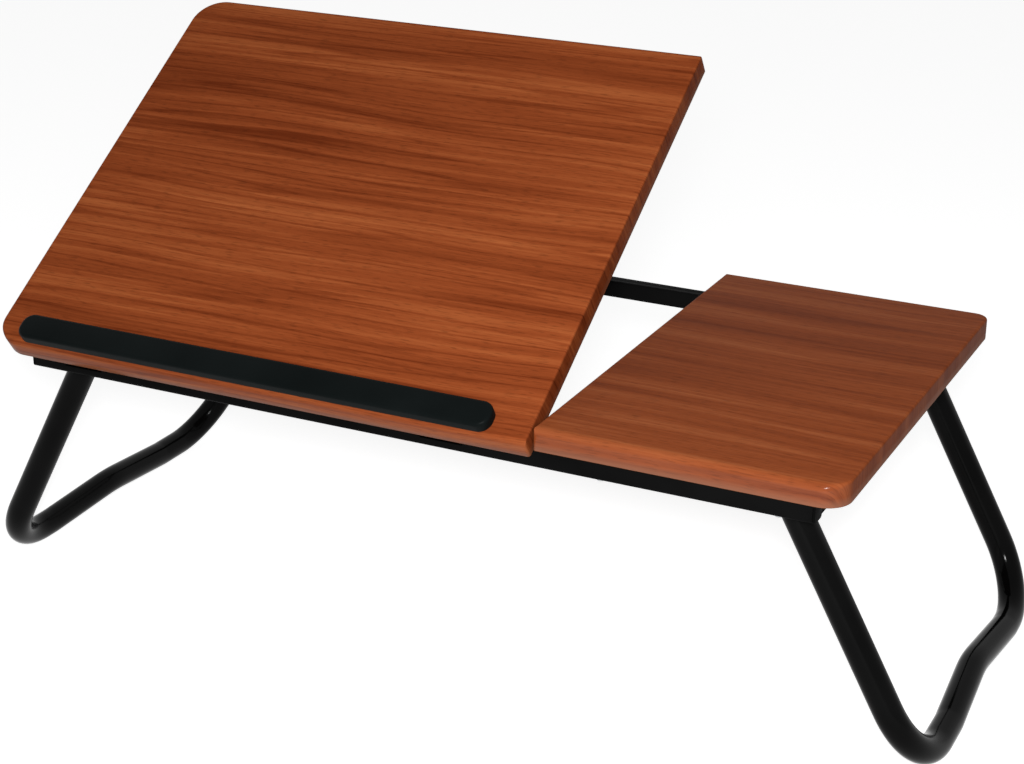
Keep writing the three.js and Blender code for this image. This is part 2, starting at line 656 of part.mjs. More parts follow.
// Prop: one bent wire, modelled flat behind its pivot and turned down by twice the tilt
const propGroup = new THREE.Group();
propGroup.position.set(panelMidX, propPivotY - tiltPinY, propPivotZ - tiltPinZ);
propGroup.rotation.x = -2 * tilt;
tiltGroup.add(propGroup);

function propWire() {
  const half = PROP_WIDTH / 2;
  const corners = [
    [-half - PROP_EAR, 0], [-half, 0], [-half, propLength],
    [half, propLength], [half, 0], [half + PROP_EAR, 0],
  ].map(([x, y]) => new THREE.Vector3(x, y, 0));
  const path = new BentPath(corners, Array(4).fill(PROP_BEND_RADIUS), radians(20));
  return sweep(disc(wireRadius, 10), path);
}

addPiece(propGroup, "prop_wire", propWire(), zincFinish);

// Legs: a bent tube in a plane, hung from the pivot with its arms straight down
function roundEnd(y) {
  // All of the arm's end that lies outside a round of the tube's radius about the pivot
  const reach = tubeRadius + 1;
  const block = prismY(rectangle(-reach, reach, 0, reach), y - reach, y + reach);
  return cut(block, rodY(tubeRadius, y - reach - 1, y + reach + 1, 0, 0, 32));
}

function boltBore(y) {
  return rodY(BOLT_DIAMETER / 2 + RUN, y - tubeRadius - 1, y + tubeRadius + 1, 0, 0);
}

function legTube(crestY) {
  const corners = [
    [-legArmY, tubeRadius], [-legArmY, -LEG_ARM_LENGTH], [crestY - HUMP_HALF_WIDTH, -LEG_ARM_LENGTH],
    [crestY, HUMP_RISE - LEG_ARM_LENGTH], [crestY + HUMP_HALF_WIDTH, -LEG_ARM_LENGTH],
    [legArmY, -LEG_ARM_LENGTH], [legArmY, tubeRadius],
  ].map(([y, z]) => new THREE.Vector3(0, y, z));
  const bends = [LEG_BEND_RADIUS, HUMP_FOOT_RADIUS, HUMP_CREST_RADIUS, HUMP_FOOT_RADIUS, LEG_BEND_RADIUS];
  const path = new BentPath(corners, bends, radians(9));
  const tube = sweep(disc(tubeRadius, 18, tubeRadius - TUBE_WALL), path);
  return cut(tube, roundEnd(-legArmY), roundEnd(legArmY), boltBore(-legArmY), boltBore(legArmY));
}

function legPlug(y) {
  const radius = tubeRadius - TUBE_WALL - RUN;
  const stem = rodZ(radius, -LEG_PLUG_LENGTH, tubeRadius, 0, y, 16);
  return cut(stem, roundEnd(y), boltBore(y));
}

for (const [side, sign] of [["left", -1], ["right", 1]]) {
  const leg = new THREE.Group();
  leg.position.set(sign * legPivotX, 0, legPivotZ);
  leg.rotation.y = -sign * splay;
  table.add(leg);
  addPiece(leg, `${side}_leg_tube`, legTube(sign * HUMP_OFFSET), blackPaint);
  addPiece(leg, `${side}_leg_front_plug`, legPlug(-legArmY), blackPlastic);
  addPiece(leg, `${side}_leg_rear_plug`, legPlug(legArmY), blackPlastic);
}

// The origin is on the floor under the middle of the standing table
const outline = new THREE.Box3().setFromObject(table, true);
table.position.set(0, -(outline.min.y + outline.max.y) / 2, -outline.min.z);

export default table;
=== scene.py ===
"""Looks of a folding bed tray table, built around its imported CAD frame.

The table has a laminated wooden top in two boards, a book stop, a frame of square tube, two
folding legs of bent round tube and a wire prop under the tilting board. Lengths are metres.
"""

import json
import logging
import math
from dataclasses import dataclass
from enum import Enum
from typing import Callable, Iterable, Sequence

import bmesh
import bpy
from mathutils import Matrix, Vector


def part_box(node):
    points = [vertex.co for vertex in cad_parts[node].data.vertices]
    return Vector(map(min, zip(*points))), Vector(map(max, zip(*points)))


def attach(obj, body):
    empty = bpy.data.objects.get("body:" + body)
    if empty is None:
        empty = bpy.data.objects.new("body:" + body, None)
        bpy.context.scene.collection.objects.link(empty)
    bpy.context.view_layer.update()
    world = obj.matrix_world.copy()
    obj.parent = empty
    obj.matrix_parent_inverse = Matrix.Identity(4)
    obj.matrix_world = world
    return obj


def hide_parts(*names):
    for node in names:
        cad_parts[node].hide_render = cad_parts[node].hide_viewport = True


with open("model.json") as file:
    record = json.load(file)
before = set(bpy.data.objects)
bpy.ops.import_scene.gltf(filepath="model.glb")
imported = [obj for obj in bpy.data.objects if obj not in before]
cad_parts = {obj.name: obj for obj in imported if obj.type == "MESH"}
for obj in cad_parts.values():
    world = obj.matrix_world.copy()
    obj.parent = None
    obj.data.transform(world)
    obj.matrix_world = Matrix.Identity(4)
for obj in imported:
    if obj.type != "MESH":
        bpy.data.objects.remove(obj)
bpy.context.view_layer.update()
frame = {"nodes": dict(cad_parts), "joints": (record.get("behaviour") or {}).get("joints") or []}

log = logging.getLogger("tray_table")

MM = 0.001
WHITE = (1.0, 1.0, 1.0, 1.0)
CORNERS = ("front_left", "front_right", "rear_left", "rear_right")

# Names of the boards' UV map and masks, and the material index of their underside
FOIL_MAP = "foil"
# The edge mask darkens the foil over the board's edges: painted shade
EDGE_SHADE_MAP = "edge"
# The foot mask pales the low band of the sides: a painted reflection of the pale floor
FLOOR_REFLECTION_MAP = "foot"
FRONT_MAP = "front"
BACKING_INDEX = 1

# Points within this distance are merged
MERGE_DISTANCE = 2e-6
# A cut takes points within this distance as lying on it
CUT_DISTANCE = 1e-7
# Faces below this height are a screw's flat crown
CROWN_LEVEL = 1e-6
# Triangles that turn less than this become one face
FLAT_ANGLE = math.radians(1.0)
# Edges that turn more than this are rounded a little
EASED_ANGLE = math.radians(40.0)

# Places of the jointed parts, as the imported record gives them
JOINT_PLACES = {joint["name"]: Vector(joint["pos_m"]) for joint in frame["joints"]}
TILT_AXIS = JOINT_PLACES["panel_tilt"]
PROP_AXIS = JOINT_PLACES["prop_fold"]
LEG_AXES = {"left": JOINT_PLACES["left_leg_fold"], "right": JOINT_PLACES["right_leg_fold"]}
TILT_ANGLE = math.radians(33.8)
LEG_SPLAY = math.radians(28.6)


class Body(Enum):
    """The moving bodies that pieces ride on."""

    FRAME = "frame"
    TILT_PANEL = "tilt_panel"
    PROP = "prop"
    LEFT_LEG = "left_leg"
    RIGHT_LEG = "right_leg"


class Slot(Enum):
    """The record's material slots."""

    WOOD = "wood_top"
    PAINT = "frame_paint"
    PLASTIC = "black_plastic"
    ZINC = "zinc_plate"


def linear(red: int, green: int, blue: int) -> tuple[float, float, float, float]:
    """Turns a screen colour into the linear colour that a shader socket takes.

    Args:
        red: 0 to 255.
        green: 0 to 255.
        blue: 0 to 255.

    Returns:
        Linear red, green and blue, and an alpha of 1.
    """
    def channel(value: int) -> float:
        """One channel from screen to linear."""
        share = value / 255
        return share / 12.92 if share <= 0.04045 else ((share + 0.055) / 1.055) ** 2.4

    return (channel(red), channel(green), channel(blue), 1.0)


def tilt_matrix() -> Matrix:
    """The turn that lifts the flat board, its hinges and its stop to the rest pose."""
    about = Matrix.Translation(TILT_AXIS)
    return about @ Matrix.Rotation(TILT_ANGLE, 4, "X") @ about.inverted()


class ShaderTree:
    """Adds nodes to one node tree and joins them."""

    def __init__(self, tree: bpy.types.NodeTree) -> None:
        """Starts on an empty tree.

        Args:
            tree: The node tree, which is cleared.
        """
        self.tree = tree
        tree.nodes.clear()
        self.column = 0

    def add(self, kind: str, **values: object) -> bpy.types.Node:
        """Adds a node and sets its properties and sockets.

        Args:
            kind: The node's type name, without the ShaderNode prefix.
            values: Properties by name, or input sockets by name with _ for a space.

        Returns:
            The new node.
        """
        node = self.tree.nodes.new("ShaderNode" + kind)
        node.location = (self.column * 190, 0)
        self.column += 1
        for name, value in values.items():
            if hasattr(node, name):
                setattr(node, name, value)
            else:
                self.input(node, name.replace("_", " ")).default_value = value
        return node

    @staticmethod
    def input(node: bpy.types.Node, name: str) -> bpy.types.NodeSocket:
        """The enabled input socket of that name."""
        return next(s for s in node.inputs if s.enabled and s.name.lower() == name.lower())

    @staticmethod
    def output(node: bpy.types.Node, name: str) -> bpy.types.NodeSocket:
        """The enabled output socket of that name."""
        return next(s for s in node.outputs if s.enabled and s.name.lower() == name.lower())

    def join(self, source: bpy.types.Node, output: str, target: bpy.types.Node, name: str) -> None:
        """Joins an output socket to an input socket."""
        self.tree.links.new(self.output(source, output), self.input(target, name))

    def scaled(self, source: bpy.types.Node, output: str, scale: Sequence[float],
               move: Sequence[float] = (0, 0, 0)) -> bpy.types.Node:
        """Stretches a pattern's coordinates.

        Args:
            source: The node that gives the coordinates.
            output: Its output socket.
            scale: The stretch along each axis, in cells a metre.
            move: An offset that moves the pattern on.

        Returns:
            The mapping node.
        """
        mapping = self.add("Mapping", Scale=tuple(scale), Location=tuple(move))
        self.join(source, output, mapping, "Vector")
        return mapping

    def noise(self, source: bpy.types.Node, detail: float,
              roughness: float = 0.55) -> bpy.types.Node:
        """A noise of one cell a unit over a mapping node's coordinates.

        Args:
            source: The mapping node.
            detail: Octaves of the noise.
            roughness: Strength of each finer octave.

        Returns:
            The noise node.
        """
        node = self.add("TexNoise", Scale=1.0, Detail=detail, Roughness=roughness)
        self.join(source, "Vector", node, "Vector")
        return node

    def ramp(self, source: bpy.types.Node, output: str,
             stops: Sequence[tuple[float, Sequence[float]]]) -> bpy.types.Node:
        """Turns a value into a colour by a row of stops.

        Args:
            source: The node that gives the value.
            output: Its output socket.
            stops: Place from 0 to 1 and linear colour of each stop.

        Returns:
            The colour ramp node.
        """
        node = self.add("ValToRGB")
        ramp = node.color_ramp
        while len(ramp.elements) < len(stops):
            ramp.elements.new(0.5)
        for element, (place, colour) in zip(ramp.elements, stops):
            element.position = place
            element.color = tuple(colour)
        self.join(source, output, node, "Fac")
        return node

    def spread(self, source: bpy.types.Node, output: str, low: float, high: float,
               to_low: float, to_high: float) -> bpy.types.Node:
        """Maps one range of a value to another, and keeps it inside.

        Args:
            source: The node that gives the value.
            output: Its output socket.
            low: Start of the range that is read.
            high: End of the range that is read.
            to_low: What the start becomes.
            to_high: What the end becomes.

        Returns:
            The map range node.
        """
        node = self.add("MapRange", From_Min=low, From_Max=high, To_Min=to_low, To_Max=to_high)
        self.join(source, output, node, "Value")
        return node

    def blend(self, mask: bpy.types.Node, mask_output: str, first: bpy.types.Node,
              first_output: str, second: Sequence[float], mode: str = "MIX") -> bpy.types.Node:
        """Mixes a plain colour over a colour by a mask.

        Args:
            mask: The node that gives the mask.
            mask_output: Its output socket.
            first: The node that gives the colour under it.
            first_output: Its output socket.
            second: The plain colour, linear.
            mode: Blender's name of the blend.

        Returns:
            The mix node.
        """
        node = self.add("Mix", data_type="RGBA", blend_type=mode)
        self.join(mask, mask_output, node, "Factor")
        self.join(first, first_output, node, "A")
        self.input(node, "B").default_value = tuple(second)
        return node


def node_group(name: str, inputs: dict[str, tuple[str, object]], outputs: dict[str, str],
               fill: Callable[[ShaderTree, bpy.types.Node, bpy.types.Node], None],
               ) -> bpy.types.NodeTree:
    """Makes a shader node group once.

    Args:
        name: The group's name.
        inputs: Socket type and starting value of each input, by name.
        outputs: Socket type of each output, by name.
        fill: Fills the tree between its input and output nodes.

    Returns:
        The group's tree.
    """
    if name in bpy.data.node_groups:
        return bpy.data.node_groups[name]
    tree = bpy.data.node_groups.new(name, "ShaderNodeTree")
    for socket, (kind, value) in inputs.items():
        made = tree.interface.new_socket(socket, in_out="INPUT", socket_type=kind)
        if value is not None:
            made.default_value = value
    for socket, kind in outputs.items():
        tree.interface.new_socket(socket, in_out="OUTPUT", socket_type=kind)
    work = ShaderTree(tree)
    entry = tree.nodes.new("NodeGroupInput")
    leave = tree.nodes.new("NodeGroupOutput")
    fill(work, entry, leave)
    leave.location = (work.column * 190, 0)
    return tree


@dataclass(frozen=True)
class PatternLayer:
    """A noise that is stretched over a surface, and the range of it that shows."""

    cells: tuple[float, float, float]
    move: tuple[float, float, float] = (0.0, 0.0, 0.0)
    detail: float = 1.0
    roughness: float = 0.55
    low: float = 0.0
    high: float = 1.0

    def noise(self, work: ShaderTree, source: bpy.types.Node) -> bpy.types.Node:
        """The layer's noise over the source's coordinates, in cells a metre.

        Args:
            work: The tree that gets the nodes.
            source: The node whose Vector output gives the coordinates.

        Returns:
            The noise node.
        """
        return work.noise(work.scaled(source, "Vector", self.cells, self.move), self.detail,
                          self.roughness)

    def shown(self, work: ShaderTree, noise: bpy.types.Node, to_low: float,
              to_high: float) -> bpy.types.Node:
        """Spreads the part of the noise that shows.

        Args:
            work: The tree that gets the node.
            noise: The layer's noise node.
            to_low: What the start of that part becomes.
            to_high: What its end becomes.

        Returns:
            The map range node.
        """
        return work.spread(noise, "Fac", self.low, self.high, to_low, to_high)


# Layers of the wood grain, which runs along X
GRAIN_WAVE = PatternLayer((3.2, 9.0, 3.0))
GRAIN_BANDS = PatternLayer((2.0, 38.0, 9.0), (3.1, 0.0, 0.0), 2.0, low=0.30, high=0.70)
GRAIN_STREAKS = PatternLayer((3.6, 210.0, 20.0), (0.0, 7.3, 0.0), 3.0, 0.58, 0.28, 0.72)
GRAIN_LINES = PatternLayer((2.4, 90.0, 15.0), (1.4, 2.6, 0.0), 2.0, 0.45)
GRAIN_FIBRES = PatternLayer((20.0, 820.0, 60.0), (0.0, 0.0, 5.7), 3.0, 0.65, 0.25, 0.75)
GRAIN_PORES = PatternLayer((95.0, 1150.0, 90.0), (9.2, 0.0, 0.0), low=0.56, high=0.68)
GRAIN_SWAY = 20 * MM
LINE_HALF_WIDTH = 0.045
FIBRE_HEIGHT = 0.6

# Layers of a coated, moulded or plated skin
SKIN_CLOUDS = PatternLayer((14.0, 14.0, 14.0), detail=3.0)
SKIN_SCUFFS = PatternLayer((90.0, 260.0, 140.0), (2.0, 5.0, 1.0), 5.0, 0.7, 0.64, 0.74)


def fill_grain(work: ShaderTree, entry: bpy.types.Node, leave: bpy.types.Node) -> None:
    """Wood grain along X: broad bands, streaks, thin dark lines, fibres and pores, all bent.

    Args:
        work: The group's tree.
        entry: Its input node.
        leave: Its output node.
    """
    centred = work.add("VectorMath", operation="SUBTRACT")
    work.join(GRAIN_WAVE.noise(work, entry), "Color", centred, "Vector")
    centred.inputs[1].default_value = (0.5, 0.5, 0.5)
    bend = work.add("VectorMath", operation="MULTIPLY")
    work.join(centred, "Vector", bend, "Vector")
    bend.inputs[1].default_value = (0.0, GRAIN_SWAY, 0.0)
    bent = work.add("VectorMath", operation="ADD")
    work.tree.links.new(work.output(entry, "Vector"), bent.inputs[0])
    work.tree.links.new(work.output(bend, "Vector"), bent.inputs[1])

    bands = GRAIN_BANDS.noise(work, bent)
    streaks = GRAIN_STREAKS.noise(work, bent)
    lines = GRAIN_LINES.noise(work, bent)
    fibres = GRAIN_FIBRES.noise(work, bent)
    pores = GRAIN_PORES.noise(work, bent)

    line_side = work.add("Math", operation="ABSOLUTE")
    work.tree.links.new(GRAIN_LINES.shown(work, lines, -0.5, 0.5).outputs[0], line_side.inputs[0])
    parts = (
        (GRAIN_BANDS.shown(work, bands, -0.5, 0.5), "Bands"),
        (GRAIN_STREAKS.shown(work, streaks, -0.5, 0.5), "Streaks"),
        (GRAIN_FIBRES.shown(work, fibres, -0.5, 0.5), "Fibres"),
        (work.spread(line_side, "Value", 0.0, LINE_HALF_WIDTH, -1.0, 0.0), "Lines"),
    )
    total: bpy.types.Node | None = None
    for part, strength in parts:
        part.clamp = strength == "Lines"
        step = work.add("Math", operation="MULTIPLY_ADD")
        work.tree.links.new(part.outputs[0], step.inputs[0])
        work.tree.links.new(work.output(entry, strength), step.inputs[1])
        if total is None:
            step.inputs[2].default_value = 0.5
        else:
            work.tree.links.new(total.outputs[0], step.inputs[2])
        total = step
    work.tree.links.new(total.outputs[0], leave.inputs["Tone"])

    dashes = GRAIN_PORES.shown(work, pores, 0.0, 1.0)
    work.tree.links.new(dashes.outputs[0], leave.inputs["Pores"])
    height = work.add("Math", operation="MULTIPLY_ADD")
    work.tree.links.new(fibres.outputs[0], height.inputs[0])
    height.inputs[1].default_value = FIBRE_HEIGHT
    work.tree.links.new(streaks.outputs[0], height.inputs[2])
    work.tree.links.new(height.outputs[0], leave.inputs["Height"])


def fill_skin(work: ShaderTree, entry: bpy.types.Node, leave: bpy.types.Node) -> None:
    """The skin of a coating or moulding: fine orange peel, soft clouds and a few scuffs.

    Args:
        work: The group's tree.
        entry: Its input node.
        leave: Its output node.
    """
    fine = work.add("TexNoise", Detail=2.0, Roughness=0.5)
    work.tree.links.new(work.output(entry, "Vector"), fine.inputs["Vector"])
    work.tree.links.new(work.output(entry, "Peel Scale"), fine.inputs["Scale"])
    clouds = SKIN_CLOUDS.noise(work, entry)
    marks = SKIN_SCUFFS.shown(work, SKIN_SCUFFS.noise(work, entry), 0.0, 1.0)
    work.tree.links.new(fine.outputs[0], leave.inputs["Height"])
    work.tree.links.new(clouds.outputs[0], leave.inputs["Clouds"])
    work.tree.links.new(marks.outputs[0], leave.inputs["Scuffs"])


def grain_group() -> bpy.types.NodeTree:
    """The wood grain that the foil and the backing share.

    Returns:
        The group's tree.
    """
    return node_group(
        "wood_grain",
        {"Vector": ("NodeSocketVector", None), "Bands": ("NodeSocketFloat", 0.5),
         "Streaks": ("NodeSocketFloat", 0.4), "Fibres": ("NodeSocketFloat", 0.25),
         "Lines": ("NodeSocketFloat", 0.2)},
        {"Tone": "NodeSocketFloat", "Pores": "NodeSocketFloat", "Height": "NodeSocketFloat"},
        fill_grain,
    )


def skin_group() -> bpy.types.NodeTree:
    """The surface skin that paint, plastic and plating share.

    Returns:
        The group's tree.
    """
    return node_group(
        "surface_skin",
        {"Vector": ("NodeSocketVector", None), "Peel Scale": ("NodeSocketFloat", 900.0)},
        {"Height": "NodeSocketFloat", "Clouds": "NodeSocketFloat", "Scuffs": "NodeSocketFloat"},
        fill_skin,
    )


def open_material(name: str) -> tuple[bpy.types.Material, ShaderTree, bpy.types.Node]:
    """Starts a material with a Principled shader.

    Args:
        name: The material's name.

    Returns:
        The material, its tree and the shader node.
    """
    material = bpy.data.materials.new(name)
    material.use_nodes = True
    work = ShaderTree(material.node_tree)
    shader = work.add("BsdfPrincipled")
    surface = work.add("OutputMaterial")
    work.join(shader, "BSDF", surface, "Surface")
    return material, work, shader


def add_bump(work: ShaderTree, source: bpy.types.NodeSocket, shader: bpy.types.Node,
             strength: float, depth: float) -> None:
    """Feeds a height to the shader's normal through a Bump node.

    Args:
        work: The material's tree.
        source: The socket that gives the height.
        shader: The Principled shader.
        strength: Strength of the relief, from 0 to 1.
        depth: Height of the relief, in metres.
    """
    bump = work.add("Bump", Strength=strength, Distance=depth)
    work.tree.links.new(source, bump.inputs["Height"])
    work.join(bump, "Normal", shader, "Normal")


@dataclass(frozen=True)
class WoodFinish:
    """Printed wood grain on a foil that wraps round the board's edges.

    Over the edges the foil's colour is darkened as painted shade, its lowest band is paled as a
    painted reflection of the pale floor, and along the front, where it is drawn tight over the
    roll, it shines.
    """

    name: str
    dark: tuple[int, int, int]
    middle: tuple[int, int, int]
    light: tuple[int, int, int]
    shift: tuple[float, float, float] = (0.0, 0.0, 0.0)
    bands: float = 0.45
    streaks: float = 0.42
    fibres: float = 0.28
    lines: float = 0.30
    # Painted shade: the foil's colour over the edges is multiplied by this
    painted_edge_shade: float = 0.62
    # Painted reflection of the pale floor: the colour laid over the low band of the sides, and its
    # share
    foot: tuple[int, int, int] = (134, 88, 66)
    floor_reflection_share: float = 0.8
    front_lacquer: float = 0.32
    lacquer_roughness: float = 0.15
    pore_share: float = 0.30
    tone_places: tuple[float, float, float] = (0.05, 0.50, 0.95)
    roughness: float = 0.40
    roughness_below: float = 0.04
    roughness_above: float = 0.06
    height_range: tuple[float, float] = (0.4, 1.2)
    specular: float = 0.006
    relief: float = 0.12
    relief_depth: float = 0.4 * MM

    def material(self) -> bpy.types.Material:
        """Builds the finish once.

        Returns:
            The material.
        """
        if self.name in bpy.data.materials:
            return bpy.data.materials[self.name]
        material, work, shader = open_material(self.name)
        lay = work.add("Mapping", Location=self.shift)
        foil = work.add("UVMap", uv_map=FOIL_MAP)
        work.join(foil, "UV", lay, "Vector")
        grain = work.add("Group", node_tree=grain_group())
        work.join(lay, "Vector", grain, "Vector")
        grain.inputs["Bands"].default_value = self.bands
        grain.inputs["Streaks"].default_value = self.streaks
        grain.inputs["Fibres"].default_value = self.fibres
        grain.inputs["Lines"].default_value = self.lines
        colours = (linear(*tone) for tone in (self.dark, self.middle, self.light))
        tone = work.ramp(grain, "Tone", tuple(zip(self.tone_places, colours)))
        faint = work.spread(grain, "Pores", 0.0, 1.0, 0.0, self.pore_share)
        colour = work.blend(faint, "Result", tone, "Color", linear(*(c // 2 for c in self.dark)))
        # Painted shade: the colour over the edges is darkened by the edge mask
        edge = work.add("Attribute", attribute_name=EDGE_SHADE_MAP)
        shade = (*[self.painted_edge_shade] * 3, 1.0)
        shaded = work.blend(edge, "Fac", colour, "Result", shade, "MULTIPLY")
        # Painted reflection: the low band of the sides is paled towards the floor's reflected
        # colour
        low = work.add("Attribute", attribute_name=FLOOR_REFLECTION_MAP)
        painted_reflection_mix = work.spread(low, "Fac", 0.0, 1.0, 0.0, self.floor_reflection_share)
        with_floor_reflection = work.blend(painted_reflection_mix, "Result", shaded, "Result", linear(*self.foot))
        work.join(with_floor_reflection, "Result", shader, "Base Color")
        if self.front_lacquer > 0:
            front = work.add("Attribute", attribute_name=FRONT_MAP)
            lacquer = work.spread(front, "Fac", 0.0, 1.0, 0.0, self.front_lacquer)
            work.join(lacquer, "Result", shader, "Coat Weight")
            shader.inputs["Coat Roughness"].default_value = self.lacquer_roughness
        gloss = work.spread(grain, "Height", *self.height_range,
                            self.roughness - self.roughness_below,
                            self.roughness + self.roughness_above)
        work.join(gloss, "Result", shader, "Roughness")
        shader.inputs["Specular IOR Level"].default_value = self.specular
        add_bump(work, work.output(grain, "Height"), shader, self.relief, self.relief_depth)
        return material


@dataclass(frozen=True)
class SkinFinish:
    """A coated, moulded or plated surface."""

    name: str
    colour: tuple[int, int, int]
    worn: tuple[int, int, int]
    roughness: float
    specular: float
    metallic: float = 0.0
    peel_scale: float = 900.0
    peel: float = 0.15
    peel_depth: float = 0.2 * MM
    scuffs: float = 0.25
    tone_step: int = 4
    tone_places: tuple[float, float] = (0.25, 0.75)
    roughness_step: float = 0.05
    cloud_range: tuple[float, float] = (0.3, 0.7)

    def material(self) -> bpy.types.Material:
        """Builds the finish once.

        Returns:
            The material.
        """
        if self.name in bpy.data.materials:
            return bpy.data.materials[self.name]
        material, work, shader = open_material(self.name)
        place = work.add("TexCoord")
        skin = work.add("Group", node_tree=skin_group())
        work.join(place, "Object", skin, "Vector")
        skin.inputs["Peel Scale"].default_value = self.peel_scale
        darker = linear(*(max(0, c - self.tone_step) for c in self.colour))
        lighter = linear(*(min(255, c + self.tone_step) for c in self.colour))
        base = work.ramp(skin, "Clouds", tuple(zip(self.tone_places, (darker, lighter))))
        share = work.spread(skin, "Scuffs", 0.0, 1.0, 0.0, self.scuffs)
        colour = work.blend(share, "Result", base, "Color", linear(*self.worn))
        work.join(colour, "Result", shader, "Base Color")
        gloss = work.spread(skin, "Clouds", *self.cloud_range,
                            self.roughness - self.roughness_step,
                            self.roughness + self.roughness_step)
        work.join(gloss, "Result", shader, "Roughness")
        shader.inputs["Specular IOR Level"].default_value = self.specular
        shader.inputs["Metallic"].default_value = self.metallic
        add_bump(work, work.output(skin, "Height"), shader, self.peel, self.peel_depth)
        return material


# The foot colour given here is the tilting board's painted floor reflection
TILT_LAMINATE = WoodFinish(
    "laminate_tilting_board", dark=(104, 43, 18), middle=(141, 68, 34), light=(176, 98, 54),
    bands=0.44, streaks=0.34, fibres=0.24, lines=0.26, foot=(120, 74, 52), front_lacquer=0.20,
)
SIDE_LAMINATE = WoodFinish(
    "laminate_side_board", dark=(112, 50, 24), middle=(147, 74, 39), light=(180, 104, 63),
    shift=(0.37, 0.11, 0.0), bands=0.50, streaks=0.26, fibres=0.18, lines=0.14,
)
BACKING = WoodFinish(
    "brown_backing", dark=(88, 52, 32), middle=(110, 66, 42), light=(128, 80, 52),
    shift=(0.7, 0.2, 0.0), bands=0.3, streaks=0.3, lines=0.1, painted_edge_shade=1.0,
    floor_reflection_share=0.0, front_lacquer=0.0, roughness=0.6,
)
TUBE_PAINT = SkinFinish(
    "semi_gloss_black_coat", colour=(7, 7, 7), worn=(18, 18, 18), roughness=0.14, specular=0.04,
    peel=0.08,
)
RAIL_PAINT = SkinFinish(
    "matt_black_coat", colour=(12, 12, 12), worn=(22, 22, 22), roughness=0.5, specular=0.01,
)
FITTING_PAINT = SkinFinish(
    "satin_black_coat", colour=(9, 9, 10), worn=(28, 28, 29), roughness=0.40, specular=0.03,
    scuffs=0.4,
)
PLUG_PLASTIC = SkinFinish(
    "black_plug_plastic", colour=(9, 9, 9), worn=(20, 20, 20), roughness=0.55, specular=0.01,
    peel_scale=1600.0, peel=0.25, scuffs=0.15,
)
STOP_PLASTIC = SkinFinish(
    "matte_black_plastic", colour=(11, 15, 15), worn=(20, 24, 25), roughness=0.38, specular=0.025,
    peel_scale=1600.0, peel=0.25, scuffs=0.15,
)
ZINC = SkinFinish(
    "zinc_plating", colour=(168, 170, 172), worn=(120, 122, 124), roughness=0.34, specular=0.5,
    metallic=1.0, peel_scale=2600.0, peel=0.12, scuffs=0.5,
)


def finished(mesh: bmesh.types.BMesh, name: str, body: Body,
             finishes: Sequence[WoodFinish | SkinFinish], replaces: Sequence[str],
             sharp: float = 35.0) -> bpy.types.Object:
    """Makes a piece of a bmesh, dresses it and lets it ride.

    Args:
        mesh: The shape in the row frame, which is used up.
        name: The piece's name.
        body: The body that it rides on.
        finishes: One finish for each material index of the faces.
        replaces: The CAD nodes that the piece stands for.
        sharp: Edges that turn more than this many degrees stay crisp.

    Returns:
        The piece.
    """
    data = bpy.data.meshes.new(name)
    mesh.to_mesh(data)
    mesh.free()
    for face in data.polygons:
        face.use_smooth = True
    data.set_sharp_from_angle(angle=math.radians(sharp))
    for finish in finishes:
        data.materials.append(finish.material())
    piece = bpy.data.objects.new(name, data)
    bpy.context.scene.collection.objects.link(piece)
    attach(piece, body.value)
    if replaces:
        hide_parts(*replaces)
    return piece


def rounded_face(mesh: bmesh.types.BMesh, low: tuple[float, float], high: tuple[float, float],
                 level: float, radii: Sequence[float], steps: int) -> bmesh.types.BMFace:
    """Lays a rectangle with its own round at each corner.

    Args:
        mesh: The mesh that gets the face.
        low: Lowest X and Y.
        high: Highest X and Y.
        level: Its Z.
        radii: Corner radii: front left, front right, rear right, rear left.
        steps: Segments of each round.

    Returns:
        The face, looking up.
    """
    middle = Matrix.Translation(((low[0] + high[0]) / 2, (low[1] + high[1]) / 2, level))
    stretch = Matrix.Diagonal((high[0] - low[0], high[1] - low[1], 1.0, 1.0))
    made = bmesh.ops.create_grid(mesh, x_segments=1, y_segments=1, size=0.5,
                                 matrix=middle @ stretch)
    corners = ((low[0], low[1]), (high[0], low[1]), (high[0], high[1]), (low[0], high[1]))
    points = [min(made["verts"], key=lambda v: (v.co.xy - Vector(corner)).length)
              for corner in corners]
    for point, radius in zip(points, radii):
        made = bmesh.ops.bevel(mesh, geom=[point], offset=radius, offset_type="OFFSET",
                               affect="VERTICES", segments=steps, profile=0.5, material=-1)
        face = made["verts"][0].link_faces[0]
    return face


def edges_among(points: Iterable[bmesh.types.BMVert]) -> list[bmesh.types.BMEdge]:
    """The edges that join the points to each other."""
    members = set(points)
    return list({e for v in members for e in v.link_edges if all(p in members for p in e.verts)})


def drawn_points(made: dict[str, list]) -> list[bmesh.types.BMVert]:
    """The points that an extrusion made."""
    return [item for item in made["geom"] if isinstance(item, bmesh.types.BMVert)]


def raise_face(mesh: bmesh.types.BMesh, face: bmesh.types.BMFace,
               height: float) -> bmesh.types.BMFace:
    """Draws a flat face up into a closed block.

    Args:
        mesh: The mesh that holds the face.
        face: The face, which stays as the block's underside.
        height: How far it is drawn.

    Returns:
        The block's upper face.
    """
    drawn = bmesh.ops.extrude_face_region(mesh, geom=[face], use_keep_orig=True)
    bmesh.ops.translate(mesh, verts=drawn_points(drawn), vec=(0.0, 0.0, height))
    upper = next(item for item in drawn["geom"] if isinstance(item, bmesh.types.BMFace))
    bmesh.ops.recalc_face_normals(mesh, faces=mesh.faces)
    return upper


